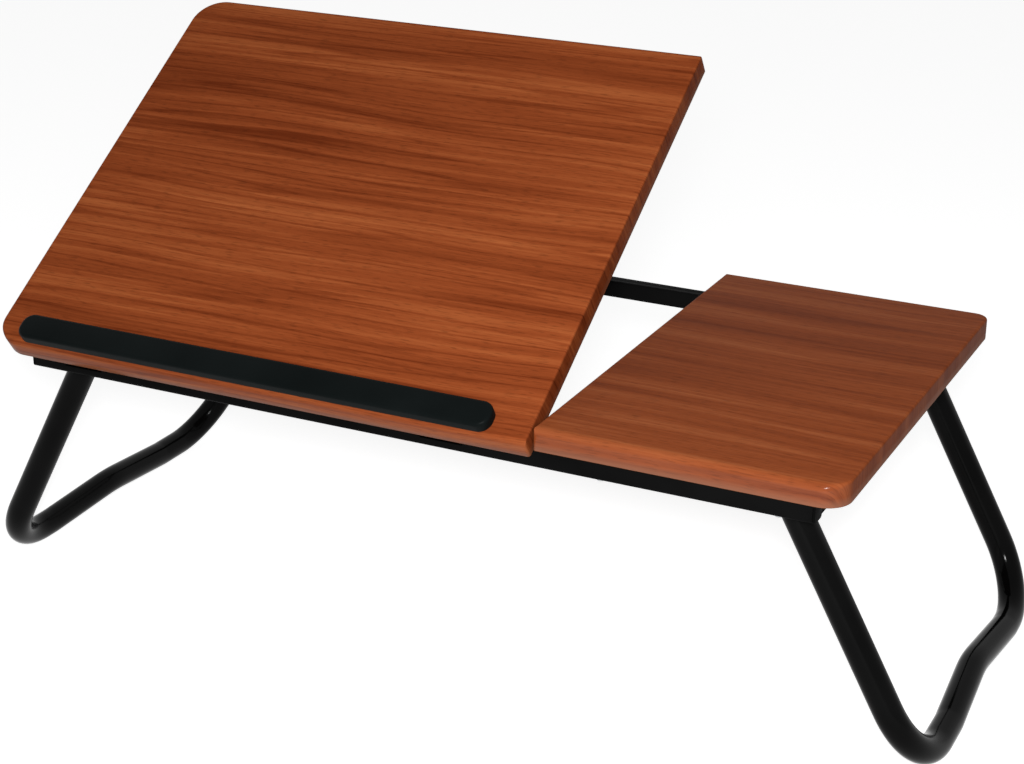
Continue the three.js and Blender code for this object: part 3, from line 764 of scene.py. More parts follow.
def turned_profile(mesh: bmesh.types.BMesh, profile: Sequence[tuple[float, float]],
                   steps: int) -> None:
    """Turns a profile of radius and height once round Z.

    Args:
        mesh: The mesh that gets the turned shape.
        profile: Radius and height of each point, from the axis to the axis.
        steps: Sides of the turned shape.
    """
    points = [mesh.verts.new((radius, 0.0, height)) for radius, height in profile]
    edges = [mesh.edges.new(pair) for pair in zip(points, points[1:])]
    bmesh.ops.spin(mesh, geom=[*points, *edges], cent=(0, 0, 0), axis=(0, 0, 1),
                   angle=2 * math.pi, steps=steps, use_merge=True)
    bmesh.ops.remove_doubles(mesh, verts=mesh.verts, dist=MERGE_DISTANCE)
    bmesh.ops.recalc_face_normals(mesh, faces=mesh.faces)


def refined(node: str, ease: float) -> bmesh.types.BMesh:
    """Copies a CAD node's shape, joins its triangles and rounds its sharp edges a little.

    Args:
        node: The CAD node.
        ease: Width of the rounding, or 0 for none.

    Returns:
        The joined shape.
    """
    mesh = bmesh.new()
    mesh.from_mesh(frame["nodes"][node].data)
    bmesh.ops.remove_doubles(mesh, verts=mesh.verts, dist=MERGE_DISTANCE)
    bmesh.ops.dissolve_limit(mesh, angle_limit=FLAT_ANGLE, verts=mesh.verts, edges=mesh.edges)
    if ease > 0:
        crisp = [e for e in mesh.edges if e.is_manifold and e.calc_face_angle(0.0) > EASED_ANGLE]
        bmesh.ops.bevel(mesh, geom=crisp, offset=ease, affect="EDGES", segments=2, profile=0.5,
                        material=-1, clamp_overlap=True)
    for face in mesh.faces:
        face.material_index = 0
    return mesh


class BentRod:
    """A round rod or tube, drawn out of one ring through straight runs and bends."""

    def __init__(self, mesh: bmesh.types.BMesh, radius: float, sides: int, start: Vector,
                 heading: Vector) -> None:
        """Lays the first ring, square to the heading.

        Args:
            mesh: The mesh that gets the rod.
            radius: The rod's radius.
            sides: Points of its ring.
            start: Middle of the first ring.
            heading: The way that the rod sets out.
        """
        self.mesh = mesh
        turn = heading.to_track_quat("Z", "Y").to_matrix().to_4x4()
        made = bmesh.ops.create_circle(mesh, cap_ends=False, segments=sides, radius=radius,
                                       matrix=Matrix.Translation(start) @ turn)
        self.ring: list[bmesh.types.BMVert] = made["verts"]
        self.first = list(self.ring)
        self.centre = start.copy()
        self.heading = heading.normalized()

    def run(self, length: float) -> None:
        """Draws the ring straight on.

        Args:
            length: How far.
        """
        self.ring = drawn_points(
            bmesh.ops.extrude_edge_only(self.mesh, edges=edges_among(self.ring)))
        bmesh.ops.translate(self.mesh, verts=self.ring, vec=self.heading * length)
        self.centre = self.centre + self.heading * length

    def bend(self, towards: Vector, radius: float, step: float) -> None:
        """Bends the rod round until it heads another way.

        Args:
            towards: The new heading.
            radius: Radius of the bend's centre line.
            step: Largest turn of one segment, in radians.
        """
        turn = self.heading.angle(towards)
        axis = self.heading.cross(towards).normalized()
        centre = self.centre + axis.cross(self.heading) * radius
        steps = max(2, math.ceil(turn / step))
        spun = bmesh.ops.spin(self.mesh, geom=[*self.ring, *edges_among(self.ring)], cent=centre,
                              axis=axis, angle=turn, steps=steps, use_duplicate=False)
        self.ring = [item for item in spun["geom_last"] if isinstance(item, bmesh.types.BMVert)]
        self.centre = centre + Matrix.Rotation(turn, 3, axis) @ (self.centre - centre)
        self.heading = towards.normalized()

    def follow(self, corners: Sequence[Vector], bends: Sequence[float], step: float) -> None:
        """Draws the rod along corners with a round bend at each inner one.

        Args:
            corners: The corners after the start.
            bends: Bend radius at each corner but the last.
            step: Largest turn of one segment, in radians.
        """
        for corner, after, radius in zip(corners, corners[1:], bends):
            towards = (after - corner).normalized()
            reach = radius * math.tan(self.heading.angle(towards) / 2)
            self.run((corner - self.centre).length - reach)
            self.bend(towards, radius, step)
        self.run((corners[-1] - self.centre).length)

    def capped(self, ring: list[bmesh.types.BMVert], share: float) -> None:
        """Closes one end of a solid rod with a flat face inside a narrow ring.

        Args:
            ring: The points of the end.
            share: Radius of the flat face as a share of the rod's.
        """
        face = bmesh.ops.contextual_create(self.mesh, geom=edges_among(ring))["faces"][0]
        bmesh.ops.inset_region(self.mesh, faces=[face],
                               thickness=(1 - share) * face.calc_perimeter() / math.tau)


@dataclass
class WoodenTop:
    """The two boards of the top, wrapped in printed foil over a rolled upper edge.

    The roll is widest along the front, and each board keeps its own corner radii, as in the photo.
    """

    thickness: float = 15 * MM
    depth: float = 330 * MM
    tilting_left: float = -305 * MM
    tilting_right: float = 100 * MM
    side_left: float = 100.8 * MM
    side_right: float = 300 * MM
    outer_corner: float = 17 * MM
    tilting_front_corner: float = 19 * MM
    tilting_rear_corner: float = 23 * MM
    side_rear_corner: float = 12 * MM
    inner_corner: float = 2 * MM
    least_corner: float = 0.1 * MM
    front_roll: float = 5 * MM
    rear_roll: float = 3 * MM
    end_roll: float = 1.5 * MM
    under_ease: float = 0.3 * MM
    under_shares: tuple[float, ...] = (0.0, 0.3, 1.0)
    # The low band of the sides that gets the painted floor reflection, and the height it fades in
    # over
    floor_reflection_height: float = 6 * MM
    floor_reflection_fade: float = 4 * MM
    # How much weaker the painted edge shade is on faces turned to the front
    front_shade_cut: float = 0.6
    roll_segments: int = 8
    corner_segments: int = 12

    def __post_init__(self) -> None:
        """Takes the boards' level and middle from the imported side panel."""
        low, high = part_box("side_panel")
        self.under = high.z - self.thickness
        self.middle_y = (low.y + high.y) / 2

    def _inset(self, drop: float, roll: float) -> float:
        """How far the outline stands in from the full size, at a depth under the top.

        Args:
            drop: The depth under the board's top.
            roll: Radius of the edge's roll.

        Returns:
            The distance inwards.
        """
        low = self.thickness - drop
        under = self.under_ease * (1 - math.sqrt(1 - (1 - min(1.0, low / self.under_ease)) ** 2))
        over = roll - math.sqrt(roll ** 2 - max(0.0, roll - drop) ** 2)
        return under + over

    def _drops(self) -> list[float]:
        """Depths under the top at which the outlines are laid.

        Returns:
            The depths, from the underside up.
        """
        steps = [math.pi / 2 * i / self.roll_segments for i in range(self.roll_segments + 1)]
        under = [self.thickness - self.under_ease * share for share in self.under_shares]
        middle = self.thickness - self.floor_reflection_height
        return [*under, middle, *(self.front_roll * (1 - math.sin(angle)) for angle in steps)]

    def board(self, left: float, right: float, radii: Sequence[float]) -> bmesh.types.BMesh:
        """Builds a board lying flat, outline over outline.

        Args:
            left: Lowest X.
            right: Highest X.
            radii: Plan radii: front left, front right, rear right, rear left.

        Returns:
            The board, with its laminate and its backing as material indices 0 and 1.
        """
        mesh = bmesh.new()
        front = self.middle_y - self.depth / 2
        rear = self.middle_y + self.depth / 2
        faces = []
        for drop in self._drops():
            end_inset = self._inset(drop, self.end_roll)
            front_inset = self._inset(drop, self.front_roll)
            rear_inset = self._inset(drop, self.rear_roll)
            rounds = [max(radius - front_inset, self.least_corner) for radius in radii[:2]]
            rounds += [max(radius - rear_inset, self.least_corner) for radius in radii[2:]]
            level = self.under + self.thickness - drop
            faces.append(rounded_face(mesh, (left + end_inset, front + front_inset),
                                      (right - end_inset, rear - rear_inset), level, rounds,
                                      self.corner_segments))
        outlines = [list(face.edges) for face in faces]
        bmesh.ops.delete(mesh, geom=faces[1:-1], context="FACES_ONLY")
        for lower, upper in zip(outlines, outlines[1:]):
            bmesh.ops.bridge_loops(mesh, edges=[*lower, *upper])
        bmesh.ops.recalc_face_normals(mesh, faces=mesh.faces)
        self._dress(mesh)
        return mesh

    def _dress(self, mesh: bmesh.types.BMesh) -> None:
        """Lays the foil's map over a board, marks its edges, and sorts out the backing.

        The map is the plan of the board, laid on over the edges by the distance along the surface.
        The edge mark, which places the painted shade, grows down the roll and is weaker in front,
        the front mark is the front's share of it, and the foot mark is the low band of the sides
        that gets a painted reflection of the pale floor.

        Args:
            mesh: The board, lying flat.
        """
        foil = mesh.loops.layers.uv.new(FOIL_MAP)
        edge = mesh.verts.layers.float.new(EDGE_SHADE_MAP)
        foot = mesh.verts.layers.float.new(FLOOR_REFLECTION_MAP)
        front = mesh.verts.layers.float.new(FRONT_MAP)
        mesh.normal_update()
        plan: dict[bmesh.types.BMVert, Vector] = {}
        for point in mesh.verts:
            drop = max(0.0, self.thickness - (point.co.z - self.under))
            facing = max(0.0, -point.normal.y)
            behind = max(0.0, point.normal.y)
            roll = (self.end_roll + (self.front_roll - self.end_roll) * facing ** 2
                    + (self.rear_roll - self.end_roll) * behind ** 2)
            angle = math.acos(max(0.0, 1 - drop / roll))
            hidden = roll * (angle - math.sin(angle)) + max(0.0, drop - roll)
            outward = point.normal.xy.normalized() if hidden > 0 else Vector((0.0, 0.0))
            plan[point] = point.co.xy + outward * hidden
            share = min(1.0, drop / roll)
            low = max(0.0, drop + self.floor_reflection_height - self.thickness)
            # Painted shade over the edges, weaker towards the front
            point[edge] = share * (1 - self.front_shade_cut * facing)
            point[front] = share * facing
            # Painted floor reflection on the low band of the sides
            point[foot] = min(1.0, low / self.floor_reflection_fade)
        for face in mesh.faces:
            if face.calc_center_median().z < self.under + self.under_ease:
                face.material_index = BACKING_INDEX
            for loop in face.loops:
                loop[foil].uv = plan[loop.vert]

    def build(self) -> list[bpy.types.Object]:
        """Builds and dresses both boards.

        Returns:
            The tilting board and the side board.
        """
        outer, inner = self.outer_corner, self.inner_corner
        tilting = self.board(self.tilting_left, self.tilting_right,
                             (self.tilting_front_corner, inner, inner, self.tilting_rear_corner))
        bmesh.ops.transform(tilting, matrix=tilt_matrix(), verts=tilting.verts)
        side = self.board(self.side_left, self.side_right,
                          (inner, outer, self.side_rear_corner, inner))
        return [
            finished(tilting, "tilting_board", Body.TILT_PANEL,
                     (TILT_LAMINATE, BACKING), ["tilting_panel"]),
            finished(side, "side_board", Body.FRAME, (SIDE_LAMINATE, BACKING),
                     ["side_panel"]),
        ]


@dataclass
class BookStop:
    """The moulded bar along the tilting board's front edge that keeps a book from sliding off."""

    length: float = 358 * MM
    width: float = 19.5 * MM
    height: float = 7.5 * MM
    front_inset: float = 1.5 * MM
    left_inset: float = 21.5 * MM
    end_radius: float = 8.2 * MM
    end_segments: int = 8
    edge: float = 2.5 * MM
    edge_segments: int = 5
    seat: float = 0.3 * MM
    peg_radius: float = 3 * MM
    peg_taper: float = 0.85
    peg_length: float = 9 * MM
    peg_spread: float = 150 * MM
    peg_sides: int = 20

    def build(self, top: WoodenTop) -> list[bpy.types.Object]:
        """Builds the bar with its three pegs.

        Args:
            top: The boards that carry it.

        Returns:
            The bar.
        """
        mesh = bmesh.new()
        left = top.tilting_left + self.left_inset
        front = top.middle_y - top.depth / 2 + self.front_inset
        level = top.under + top.thickness + self.seat
        face = rounded_face(mesh, (left, front), (left + self.length, front + self.width), level,
                            [self.end_radius] * 4, self.end_segments)
        upper = raise_face(mesh, face, self.height)
        bmesh.ops.bevel(mesh, geom=list(upper.edges), offset=self.edge, affect="EDGES",
                        segments=self.edge_segments, profile=0.5, material=-1, clamp_overlap=True)
        for side in (-1, 0, 1):
            peg = Vector((left + self.length / 2 + side * self.peg_spread, front + self.width / 2,
                          level - self.seat - self.peg_length / 2))
            bmesh.ops.create_cone(mesh, cap_ends=True, segments=self.peg_sides,
                                  radius1=self.peg_radius * self.peg_taper, radius2=self.peg_radius,
                                  depth=self.peg_length, matrix=Matrix.Translation(peg))
        bmesh.ops.transform(mesh, matrix=tilt_matrix(), verts=mesh.verts)
        return [finished(mesh, "book_stop_bar", Body.TILT_PANEL, (STOP_PLASTIC,),
                         ["book_stop"], sharp=50.0)]


@dataclass
class UnderFrame:
    """The frame of square tube under the boards, with plugs in its open rail ends."""

    ease: float = 0.25 * MM
    tubes: tuple[str, ...] = ("front_rail", "rear_rail", "left_end_bar", "right_end_bar")

    def build(self) -> list[bpy.types.Object]:
        """Builds the tubes, the plugs and the leg brackets.

        Returns:
            The pieces.
        """
        pieces = [
            finished(refined(node, self.ease), f"{node}_tube", Body.FRAME,
                     (RAIL_PAINT,), [node])
            for node in self.tubes
        ]
        for corner in CORNERS:
            plug = f"{corner}_rail_plug"
            bracket = f"{corner}_leg_bracket"
            pieces.append(finished(refined(plug, self.ease), f"{corner}_end_cap", Body.FRAME,
                                   (PLUG_PLASTIC,), [plug]))
            pieces.append(finished(refined(bracket, self.ease), f"{corner}_pivot_plate", Body.FRAME,
                                   (FITTING_PAINT,), [bracket]))
        return pieces


@dataclass
class FoldingLeg:
    """One leg: a round tube bent to a wide U with a hump in its foot run."""

    side: str
    sign: int
    body: Body
    radius: float = 9.5 * MM
    wall: float = 1.2 * MM
    arm_y: float = 133.8 * MM
    arm_length: float = 187.6 * MM
    bend_radius: float = 46 * MM
    hump_half_width: float = 71 * MM
    hump_rise: float = 7.6 * MM
    hump_offset: float = 8 * MM
    hump_foot_radius: float = 50 * MM
    hump_crest_radius: float = 105 * MM
    bore_depth: float = 17 * MM
    sides: int = 36
    step: float = math.radians(4)

    def _end_height(self, point: bmesh.types.BMVert) -> float:
        """Height of an arm's rounded end over its bolt, at a point of the tube."""
        return math.sqrt(max(0.0, self.radius ** 2 - point.co.x ** 2))

    def _ended(self, mesh: bmesh.types.BMesh, ring: list[bmesh.types.BMVert]) -> None:
        """Rounds an arm's end about its bolt and opens its bore.

        Args:
            mesh: The leg, standing in its own plane with the pivot at Z 0.
            ring: The points of the arm's open end.
        """
        middle = sum((v.co for v in ring), Vector()) / len(ring)
        for point in ring:
            point.co.z = self._end_height(point)
        lip = drawn_points(bmesh.ops.extrude_edge_only(mesh, edges=edges_among(ring)))
        share = (self.radius - self.wall) / self.radius
        for point in lip:
            point.co.x = middle.x + (point.co.x - middle.x) * share
            point.co.y = middle.y + (point.co.y - middle.y) * share
            point.co.z = self._end_height(point)
        floor = drawn_points(bmesh.ops.extrude_edge_only(mesh, edges=edges_among(lip)))
        for point in floor:
            point.co.z = -self.bore_depth
        bmesh.ops.contextual_create(mesh, geom=edges_among(floor))

    def build(self) -> list[bpy.types.Object]:
        """Bends the tube, closes its ends with plugs and turns it to its splay.

        Returns:
            The leg's pieces.
        """
        mesh = bmesh.new()
        foot = -self.arm_length
        start = Vector((0.0, -self.arm_y, 0.0))
        crest = self.sign * self.hump_offset
        corners = [Vector((0.0, y, z)) for y, z in (
            (-self.arm_y, foot), (crest - self.hump_half_width, foot),
            (crest, foot + self.hump_rise), (crest + self.hump_half_width, foot),
            (self.arm_y, foot), (self.arm_y, 0.0),
        )]
        bends = (self.bend_radius, self.hump_foot_radius, self.hump_crest_radius,
                 self.hump_foot_radius, self.bend_radius)
        rod = BentRod(mesh, self.radius, self.sides, start, Vector((0.0, 0.0, -1.0)))
        rod.follow(corners, bends, self.step)
        self._ended(mesh, rod.first)
        self._ended(mesh, rod.ring)
        bmesh.ops.recalc_face_normals(mesh, faces=mesh.faces)
        place = Matrix.Translation(LEG_AXES[self.side])
        splay = Matrix.Rotation(-self.sign * LEG_SPLAY, 4, "Y")
        bmesh.ops.transform(mesh, matrix=place @ splay, verts=mesh.verts)
        pieces = [finished(mesh, f"{self.side}_leg_bent_tube", self.body, (TUBE_PAINT,),
                           [f"{self.side}_leg_tube"])]
        for end in ("front", "rear"):
            node = f"{self.side}_leg_{end}_plug"
            name = f"{self.side}_leg_{end}_end_cap"
            pieces.append(finished(refined(node, 0.0), name, self.body,
                                   (PLUG_PLASTIC,), [node]))
        return pieces


@dataclass
class PivotBolts:
    """The bolts and nuts that the legs fold about."""

    bolt_radius: float = 3 * MM
    tip_chamfer: float = 0.6 * MM
    head_radius: float = 4.5 * MM
    head_height: float = 2.2 * MM
    head_dome: tuple[tuple[float, float], ...] = (
        (1.0, 0.45), (0.93, 0.70), (0.76, 0.90), (0.55, 1.0),
    )
    socket_radius: float = 1.8 * MM
    socket_depth: float = 1.2 * MM
    nut_chamfer: float = 0.35 * MM
    sides: int = 24

    def _bolt(self, corner: str) -> bmesh.types.BMesh:
        """Turns a bolt with a domed head and a round socket.

        Args:
            corner: The frame's corner that it sits in.

        Returns:
            The bolt in its place.
        """
        low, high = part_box(f"{corner}_leg_bolt")
        outward = -1 if corner.startswith("front") else 1
        tip, crown = (high.y, low.y) if outward < 0 else (low.y, high.y)
        length = abs(crown - tip)
        seat = length - self.head_height
        shank, head = self.bolt_radius, self.head_radius
        dome = ((head * wide, seat + self.head_height * high) for wide, high in self.head_dome)
        mesh = bmesh.new()
        turned_profile(mesh, (
            (0.0, 0.0), (shank - self.tip_chamfer, 0.0), (shank, self.tip_chamfer), (shank, seat),
            (head, seat), *dome, (self.socket_radius, length),
            (self.socket_radius, length - self.socket_depth), (0.0, length - self.socket_depth),
        ), self.sides)
        turn = Matrix.Rotation(-outward * math.pi / 2, 4, "X")
        place = Matrix.Translation(((low.x + high.x) / 2, tip, (low.z + high.z) / 2))
        bmesh.ops.transform(mesh, matrix=place @ turn, verts=mesh.verts)
        return mesh

    def build(self) -> list[bpy.types.Object]:
        """Builds all four bolts and nuts.

        Returns:
            The pieces.
        """
        pieces = []
        for corner in CORNERS:
            nut = f"{corner}_leg_nut"
            pieces.append(finished(self._bolt(corner), f"{corner}_pivot_bolt", Body.FRAME,
                                   (ZINC,), [f"{corner}_leg_bolt"]))
            pieces.append(finished(refined(nut, self.nut_chamfer), f"{corner}_pivot_nut",
                                   Body.FRAME, (ZINC,), [nut]))
        return pieces


@dataclass
class WoodScrews:
    """Pan-head screws with a cross recess, driven up into the boards."""

    shank_radius: float = 1.5 * MM
    point_length: float = 3 * MM
    head_radius: float = 3 * MM
    head_height: float = 1.8 * MM
    head_dome: tuple[tuple[float, float], ...] = (
        (0.62, 0.0), (0.86, 0.16), (1.0, 0.45), (1.0, 1.0),
    )
    recess_half_width: float = 0.32 * MM
    recess_reach: float = 1.7 * MM
    recess_depth: float = 0.9 * MM
    sides: int = 20
    turn_step: float = 0.7

    @staticmethod
    def _crown(mesh: bmesh.types.BMesh) -> list[bmesh.types.BMFace]:
        """The flat faces of the crown, at Z 0."""
        return [f for f in mesh.faces if f.calc_center_median().z < CROWN_LEVEL]

    def _screw(self, length: float) -> bmesh.types.BMesh:
        """Turns a screw standing on its head, with its crown at Z 0 and its tip up.

        Args:
            length: From crown to tip.

        Returns:
            The screw.
        """
        shank, high = self.shank_radius, self.head_height
        dome = ((self.head_radius * wide, high * down) for wide, down in self.head_dome)
        mesh = bmesh.new()
        turned_profile(mesh, (
            (0.0, 0.0), *dome, (shank, high), (shank, length - self.point_length), (0.0, length),
        ), self.sides)
        for normal in (Vector((1, 0, 0)), Vector((0, 1, 0))):
            for offset in (-self.recess_half_width, self.recess_half_width):
                crown = self._crown(mesh)
                lines = {e for f in crown for e in f.edges}
                points = {v for f in crown for v in f.verts}
                bmesh.ops.bisect_plane(mesh, geom=[*crown, *lines, *points], dist=CUT_DISTANCE,
                                       plane_no=normal, plane_co=normal * offset)
        cross = []
        for face in self._crown(mesh):
            middle = face.calc_center_median()
            in_slot = min(abs(middle.x), abs(middle.y)) < self.recess_half_width
            if in_slot and middle.length < self.recess_reach:
                cross.append(face)
        floor = drawn_points(bmesh.ops.extrude_face_region(mesh, geom=cross))
        bmesh.ops.delete(mesh, geom=cross, context="FACES_ONLY")
        bmesh.ops.translate(mesh, verts=floor, vec=(0.0, 0.0, self.recess_depth))
        bmesh.ops.recalc_face_normals(mesh, faces=mesh.faces)
        return mesh

    def build(self) -> list[bpy.types.Object]:
        """Builds every screw in its own place.

        Returns:
            The screws.
        """
        pieces = []
        for node in sorted(n for n in frame["nodes"] if "_screw_" in n):
            on_board = node.startswith(("tilt_hinge", "prop_clip"))
            corners = [v.co.copy() for v in frame["nodes"][node].data.vertices]
            if on_board:
                flat = tilt_matrix().inverted()
                corners = [flat @ c for c in corners]
            low = Vector(min(c[i] for c in corners) for i in range(3))
            high = Vector(max(c[i] for c in corners) for i in range(3))
            mesh = self._screw(high.z - low.z)
            place = Matrix.Translation(((low.x + high.x) / 2, (low.y + high.y) / 2, low.z))
            spin = Matrix.Rotation(self.turn_step * len(pieces), 4, "Z")
            bmesh.ops.transform(mesh, matrix=place @ spin, verts=mesh.verts)
            if on_board:
                bmesh.ops.transform(mesh, matrix=tilt_matrix(), verts=mesh.verts)
            body = Body.TILT_PANEL if on_board else Body.FRAME
            name = node.replace("_screw_", "_wood_screw_")
            pieces.append(finished(mesh, name, body, (ZINC,), [node]))
        return pieces


@dataclass
class TiltHinges:
    """The strap hinges under the tilting board's front edge and the pins they turn on."""

    pin_radius: float = 1.5 * MM
    pin_chamfer: float = 0.45 * MM
    pin_sides: int = 20
    ease: float = 0.25 * MM

    def _pin(self, node: str) -> bmesh.types.BMesh:
        """Turns a pin with chamfered ends.

        Args:
            node: The CAD node whose place it takes.

        Returns:
            The pin.
        """
        low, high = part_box(node)
        length = high.x - low.x
        radius, chamfer = self.pin_radius, self.pin_chamfer
        mesh = bmesh.new()
        turned_profile(mesh, (
            (0.0, 0.0), (radius - chamfer, 0.0), (radius, chamfer), (radius, length - chamfer),
            (radius - chamfer, length), (0.0, length),
        ), self.pin_sides)
        turn = Matrix.Rotation(math.pi / 2, 4, "Y")
        place = Matrix.Translation((low.x, (low.y + high.y) / 2, (low.z + high.z) / 2))
        bmesh.ops.transform(mesh, matrix=place @ turn, verts=mesh.verts)
        return mesh

    def build(self) -> list[bpy.types.Object]:
        """Builds both hinges and both pins.

        Returns:
            The pieces.
        """
        pieces = []
        for number in (1, 2):
            hinge = f"tilt_hinge_{number}"
            pin = f"tilt_pin_{number}"
            pieces.append(finished(refined(hinge, self.ease), f"strap_hinge_{number}",
                                   Body.TILT_PANEL, (FITTING_PAINT,), [hinge]))
            pieces.append(finished(self._pin(pin), f"hinge_pin_{number}", Body.FRAME,
                                   (ZINC,), [pin]))
        return pieces


@dataclass
class BoardProp:
    """The wire prop that holds the tilting board up, its clips and its notched racks."""

    wire_radius: float = 2.5 * MM
    length: float = 137.15 * MM
    width: float = 130 * MM
    ear: float = 20 * MM
    bend_radius: float = 7 * MM
    cap_share: float = 0.82
    sides: int = 20
    step: float = math.radians(7.5)
    ease: float = 0.2 * MM

    def _wire(self) -> bmesh.types.BMesh:
        """Bends the wire flat behind its pivot and turns it down to its foot.

        Returns:
            The wire in its place.
        """
        mesh = bmesh.new()
        half = self.width / 2
        end = half + self.ear
        corners = [Vector((x, y, 0.0)) for x, y in (
            (-half, 0.0), (-half, self.length), (half, self.length), (half, 0.0), (end, 0.0),
        )]
        rod = BentRod(mesh, self.wire_radius, self.sides, Vector((-end, 0.0, 0.0)),
                      Vector((1, 0, 0)))
        rod.follow(corners, [self.bend_radius] * 4, self.step)
        rod.capped(rod.first, self.cap_share)
        rod.capped(rod.ring, self.cap_share)
        bmesh.ops.recalc_face_normals(mesh, faces=mesh.faces)
        turn = Matrix.Rotation(-TILT_ANGLE, 4, "X")
        bmesh.ops.transform(mesh, matrix=Matrix.Translation(PROP_AXIS) @ turn, verts=mesh.verts)
        return mesh

    def build(self) -> list[bpy.types.Object]:
        """Builds the wire, the clips and the racks.

        Returns:
            The pieces.
        """
        pieces = [finished(self._wire(), "prop_bent_wire", Body.PROP, (ZINC,),
                           ["prop_wire"])]
        for number in (1, 2):
            clip = f"prop_clip_{number}"
            rack = f"prop_rack_{number}"
            pieces.append(finished(refined(clip, self.ease), f"saddle_clip_{number}",
                                   Body.TILT_PANEL, (ZINC,), [clip]))
            pieces.append(finished(refined(rack, self.ease), f"notched_rack_{number}", Body.FRAME,
                                   (FITTING_PAINT,), [rack]))
        return pieces


@dataclass(frozen=True)
class Lamp:
    """A square soft lamp: its name, place, width and power in watts."""

    name: str
    place: tuple[float, float, float]
    size: float
    watts: float

    def build(self, target: Vector) -> None:
        """Sets the lamp.

        Args:
            target: The point that it looks at.
        """
        data = bpy.data.lights.new(self.name, "AREA")
        data.size = self.size
        data.energy = self.watts
        lamp = bpy.data.objects.new(self.name, data)
        bpy.context.scene.collection.objects.link(lamp)
        turn = (target - Vector(self.place)).to_track_quat("-Z", "Y").to_matrix().to_4x4()
        lamp.matrix_world = Matrix.Translation(self.place) @ turn


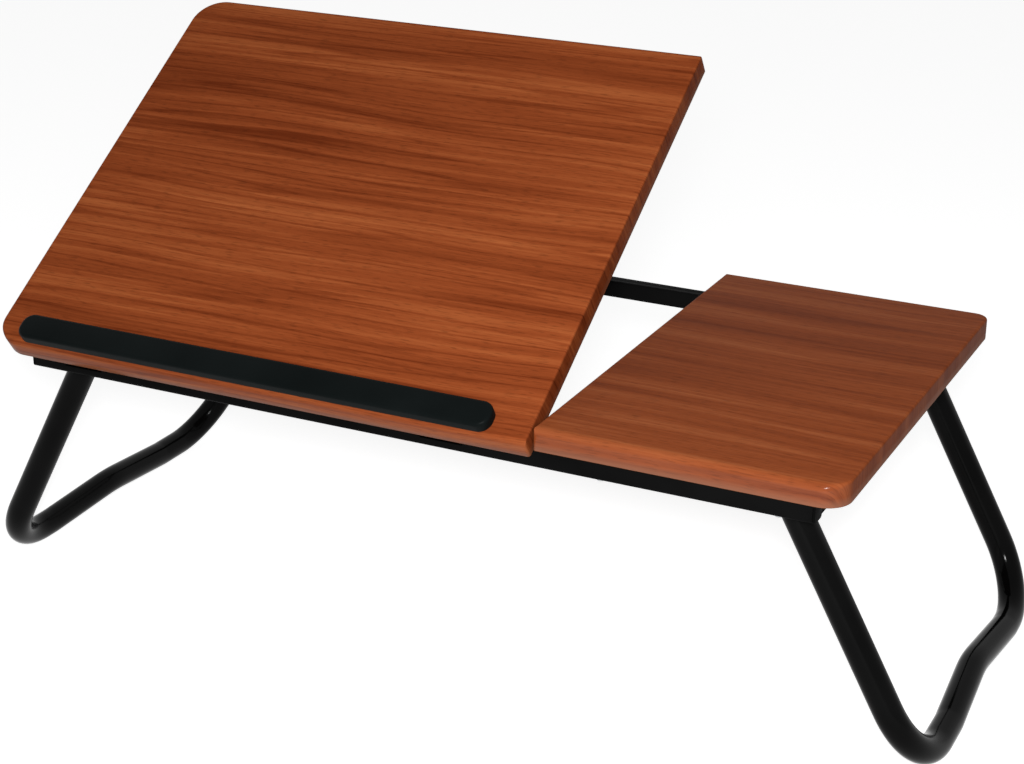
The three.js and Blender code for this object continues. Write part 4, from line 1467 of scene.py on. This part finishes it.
@dataclass
class Studio:
    """The pale floor, the lamps and the camera.

    The photo was taken with a light beside the camera, so both lamps stand near the eye.
    """

    focal_pixels: float = 2090.0
    centre_x: float = 558.6
    centre_y: float = 415.7
    picture_width: int = 1024
    picture_height: int = 764
    azimuth: float = math.radians(24.971)
    elevation: float = math.radians(22.688)
    roll: float = math.radians(0.704)
    eye: tuple[float, float, float] = (0.610484, -1.216880, 0.704077)
    sensor: float = 36.0
    lamps: tuple[Lamp, ...] = (
        Lamp("front_lamp", (0.64, -1.30, 0.82), 0.35, 11.0),
        Lamp("camera_lamp", (0.60, -1.22, 0.76), 0.10, 12.0),
    )
    lamp_target: tuple[float, float, float] = (0.0, 0.0, 0.15)
    fill_light: float = 0.22
    floor_size: float = 30.0
    floor_tone: float = 0.66
    floor_lift: float = 0.78

    def _camera_axes(self) -> Matrix:
        """Works out the camera's right, up and back directions.

        Returns:
            The rotation matrix whose columns they are.
        """
        level = math.cos(self.elevation)
        back = Vector((math.sin(self.azimuth) * level, -math.cos(self.azimuth) * level,
                       math.sin(self.elevation)))
        right = (-back).cross(Vector((0, 0, 1))).normalized()
        up = right.cross(-back)
        rolled_right = math.cos(self.roll) * right + math.sin(self.roll) * up
        rolled_up = -math.sin(self.roll) * right + math.cos(self.roll) * up
        return Matrix((rolled_right, rolled_up, back)).transposed().to_4x4()

    def camera(self) -> None:
        """Sets the camera that matches the photograph."""
        data = bpy.data.cameras.new("camera")
        data.sensor_width = self.sensor
        data.lens = self.focal_pixels * self.sensor / self.picture_width
        data.shift_x = (self.picture_width / 2 - self.centre_x) / self.picture_width
        data.shift_y = (self.centre_y - self.picture_height / 2) / self.picture_width
        camera = bpy.data.objects.new("camera", data)
        bpy.context.scene.collection.objects.link(camera)
        camera.matrix_world = Matrix.Translation(self.eye) @ self._camera_axes()
        bpy.context.scene.camera = camera

    def _seen_mask(self, work: ShaderTree) -> bpy.types.Node:
        """A mask that is 1 for what the camera, a gloss or a glass shows.

        Args:
            work: The tree that gets the nodes.

        Returns:
            The node that gives the mask.
        """
        path = work.add("LightPath")
        first = work.add("Math", operation="MAXIMUM")
        work.tree.links.new(path.outputs["Is Camera Ray"], first.inputs[0])
        work.tree.links.new(path.outputs["Is Glossy Ray"], first.inputs[1])
        both = work.add("Math", operation="MAXIMUM")
        work.tree.links.new(first.outputs[0], both.inputs[0])
        work.tree.links.new(path.outputs["Is Transmission Ray"], both.inputs[1])
        return both

    def lights(self) -> None:
        """Lights the table plainly, with the white background for the camera alone."""
        world = bpy.data.worlds.new("studio")
        bpy.context.scene.world = world
        world.use_nodes = True
        work = ShaderTree(world.node_tree)
        seen = self._seen_mask(work)
        level = work.add("MapRange", To_Min=self.fill_light, To_Max=1.0)
        work.tree.links.new(seen.outputs[0], level.inputs["Value"])
        light = work.add("Background", Color=WHITE)
        work.join(level, "Result", light, "Strength")
        out = work.add("OutputWorld")
        work.join(light, "Background", out, "Surface")
        for lamp in self.lamps:
            lamp.build(Vector(self.lamp_target))

    def floor(self) -> None:
        """Lays the pale floor, which keeps the table's shadow."""
        mesh = bmesh.new()
        bmesh.ops.create_grid(mesh, x_segments=1, y_segments=1, size=self.floor_size / 2)
        data = bpy.data.meshes.new("floor")
        mesh.to_mesh(data)
        mesh.free()
        material = bpy.data.materials.new("pale_floor")
        material.use_nodes = True
        work = ShaderTree(material.node_tree)
        matte = work.add("BsdfDiffuse", Color=(*[self.floor_tone] * 3, 1.0))
        seen = self._seen_mask(work)
        lift = work.add("Math", operation="MULTIPLY")
        work.tree.links.new(seen.outputs[0], lift.inputs[0])
        lift.inputs[1].default_value = self.floor_lift
        glow = work.add("Emission", Color=WHITE)
        work.join(lift, "Value", glow, "Strength")
        both = work.add("AddShader")
        work.tree.links.new(matte.outputs[0], both.inputs[0])
        work.tree.links.new(glow.outputs[0], both.inputs[1])
        out = work.add("OutputMaterial")
        work.join(both, "Shader", out, "Surface")
        data.materials.append(material)
        floor = bpy.data.objects.new("floor", data)
        bpy.context.scene.collection.objects.link(floor)

    def build(self) -> None:
        """Sets the camera, the lights and the floor."""
        self.camera()
        self.lights()
        self.floor()
        bpy.context.scene.view_settings.view_transform = "Standard"


def report_pieces(group: str, pieces: Sequence[bpy.types.Object]) -> None:
    """Logs each piece of a group with its size in millimetres.

    Args:
        group: What the pieces make up.
        pieces: The pieces.
    """
    for piece in pieces:
        size = " x ".join(f"{1000 * side:.1f}" for side in piece.dimensions)
        log.info("%s: %s, %s mm, %d faces", group, piece.name, size, len(piece.data.polygons))


def main() -> None:
    """Builds the studio and the table, piece by piece."""
    logging.basicConfig(level=logging.INFO, format="%(message)s")
    Studio().build()
    top = WoodenTop()
    report_pieces("top", top.build())
    report_pieces("book stop", BookStop().build(top))
    report_pieces("frame", UnderFrame().build())
    report_pieces("left leg", FoldingLeg("left", -1, Body.LEFT_LEG).build())
    report_pieces("right leg", FoldingLeg("right", 1, Body.RIGHT_LEG).build())
    report_pieces("pivots", PivotBolts().build())
    report_pieces("screws", WoodScrews().build())
    report_pieces("hinges", TiltHinges().build())
    report_pieces("prop", BoardProp().build())


if __name__ == "__main__":
    main()
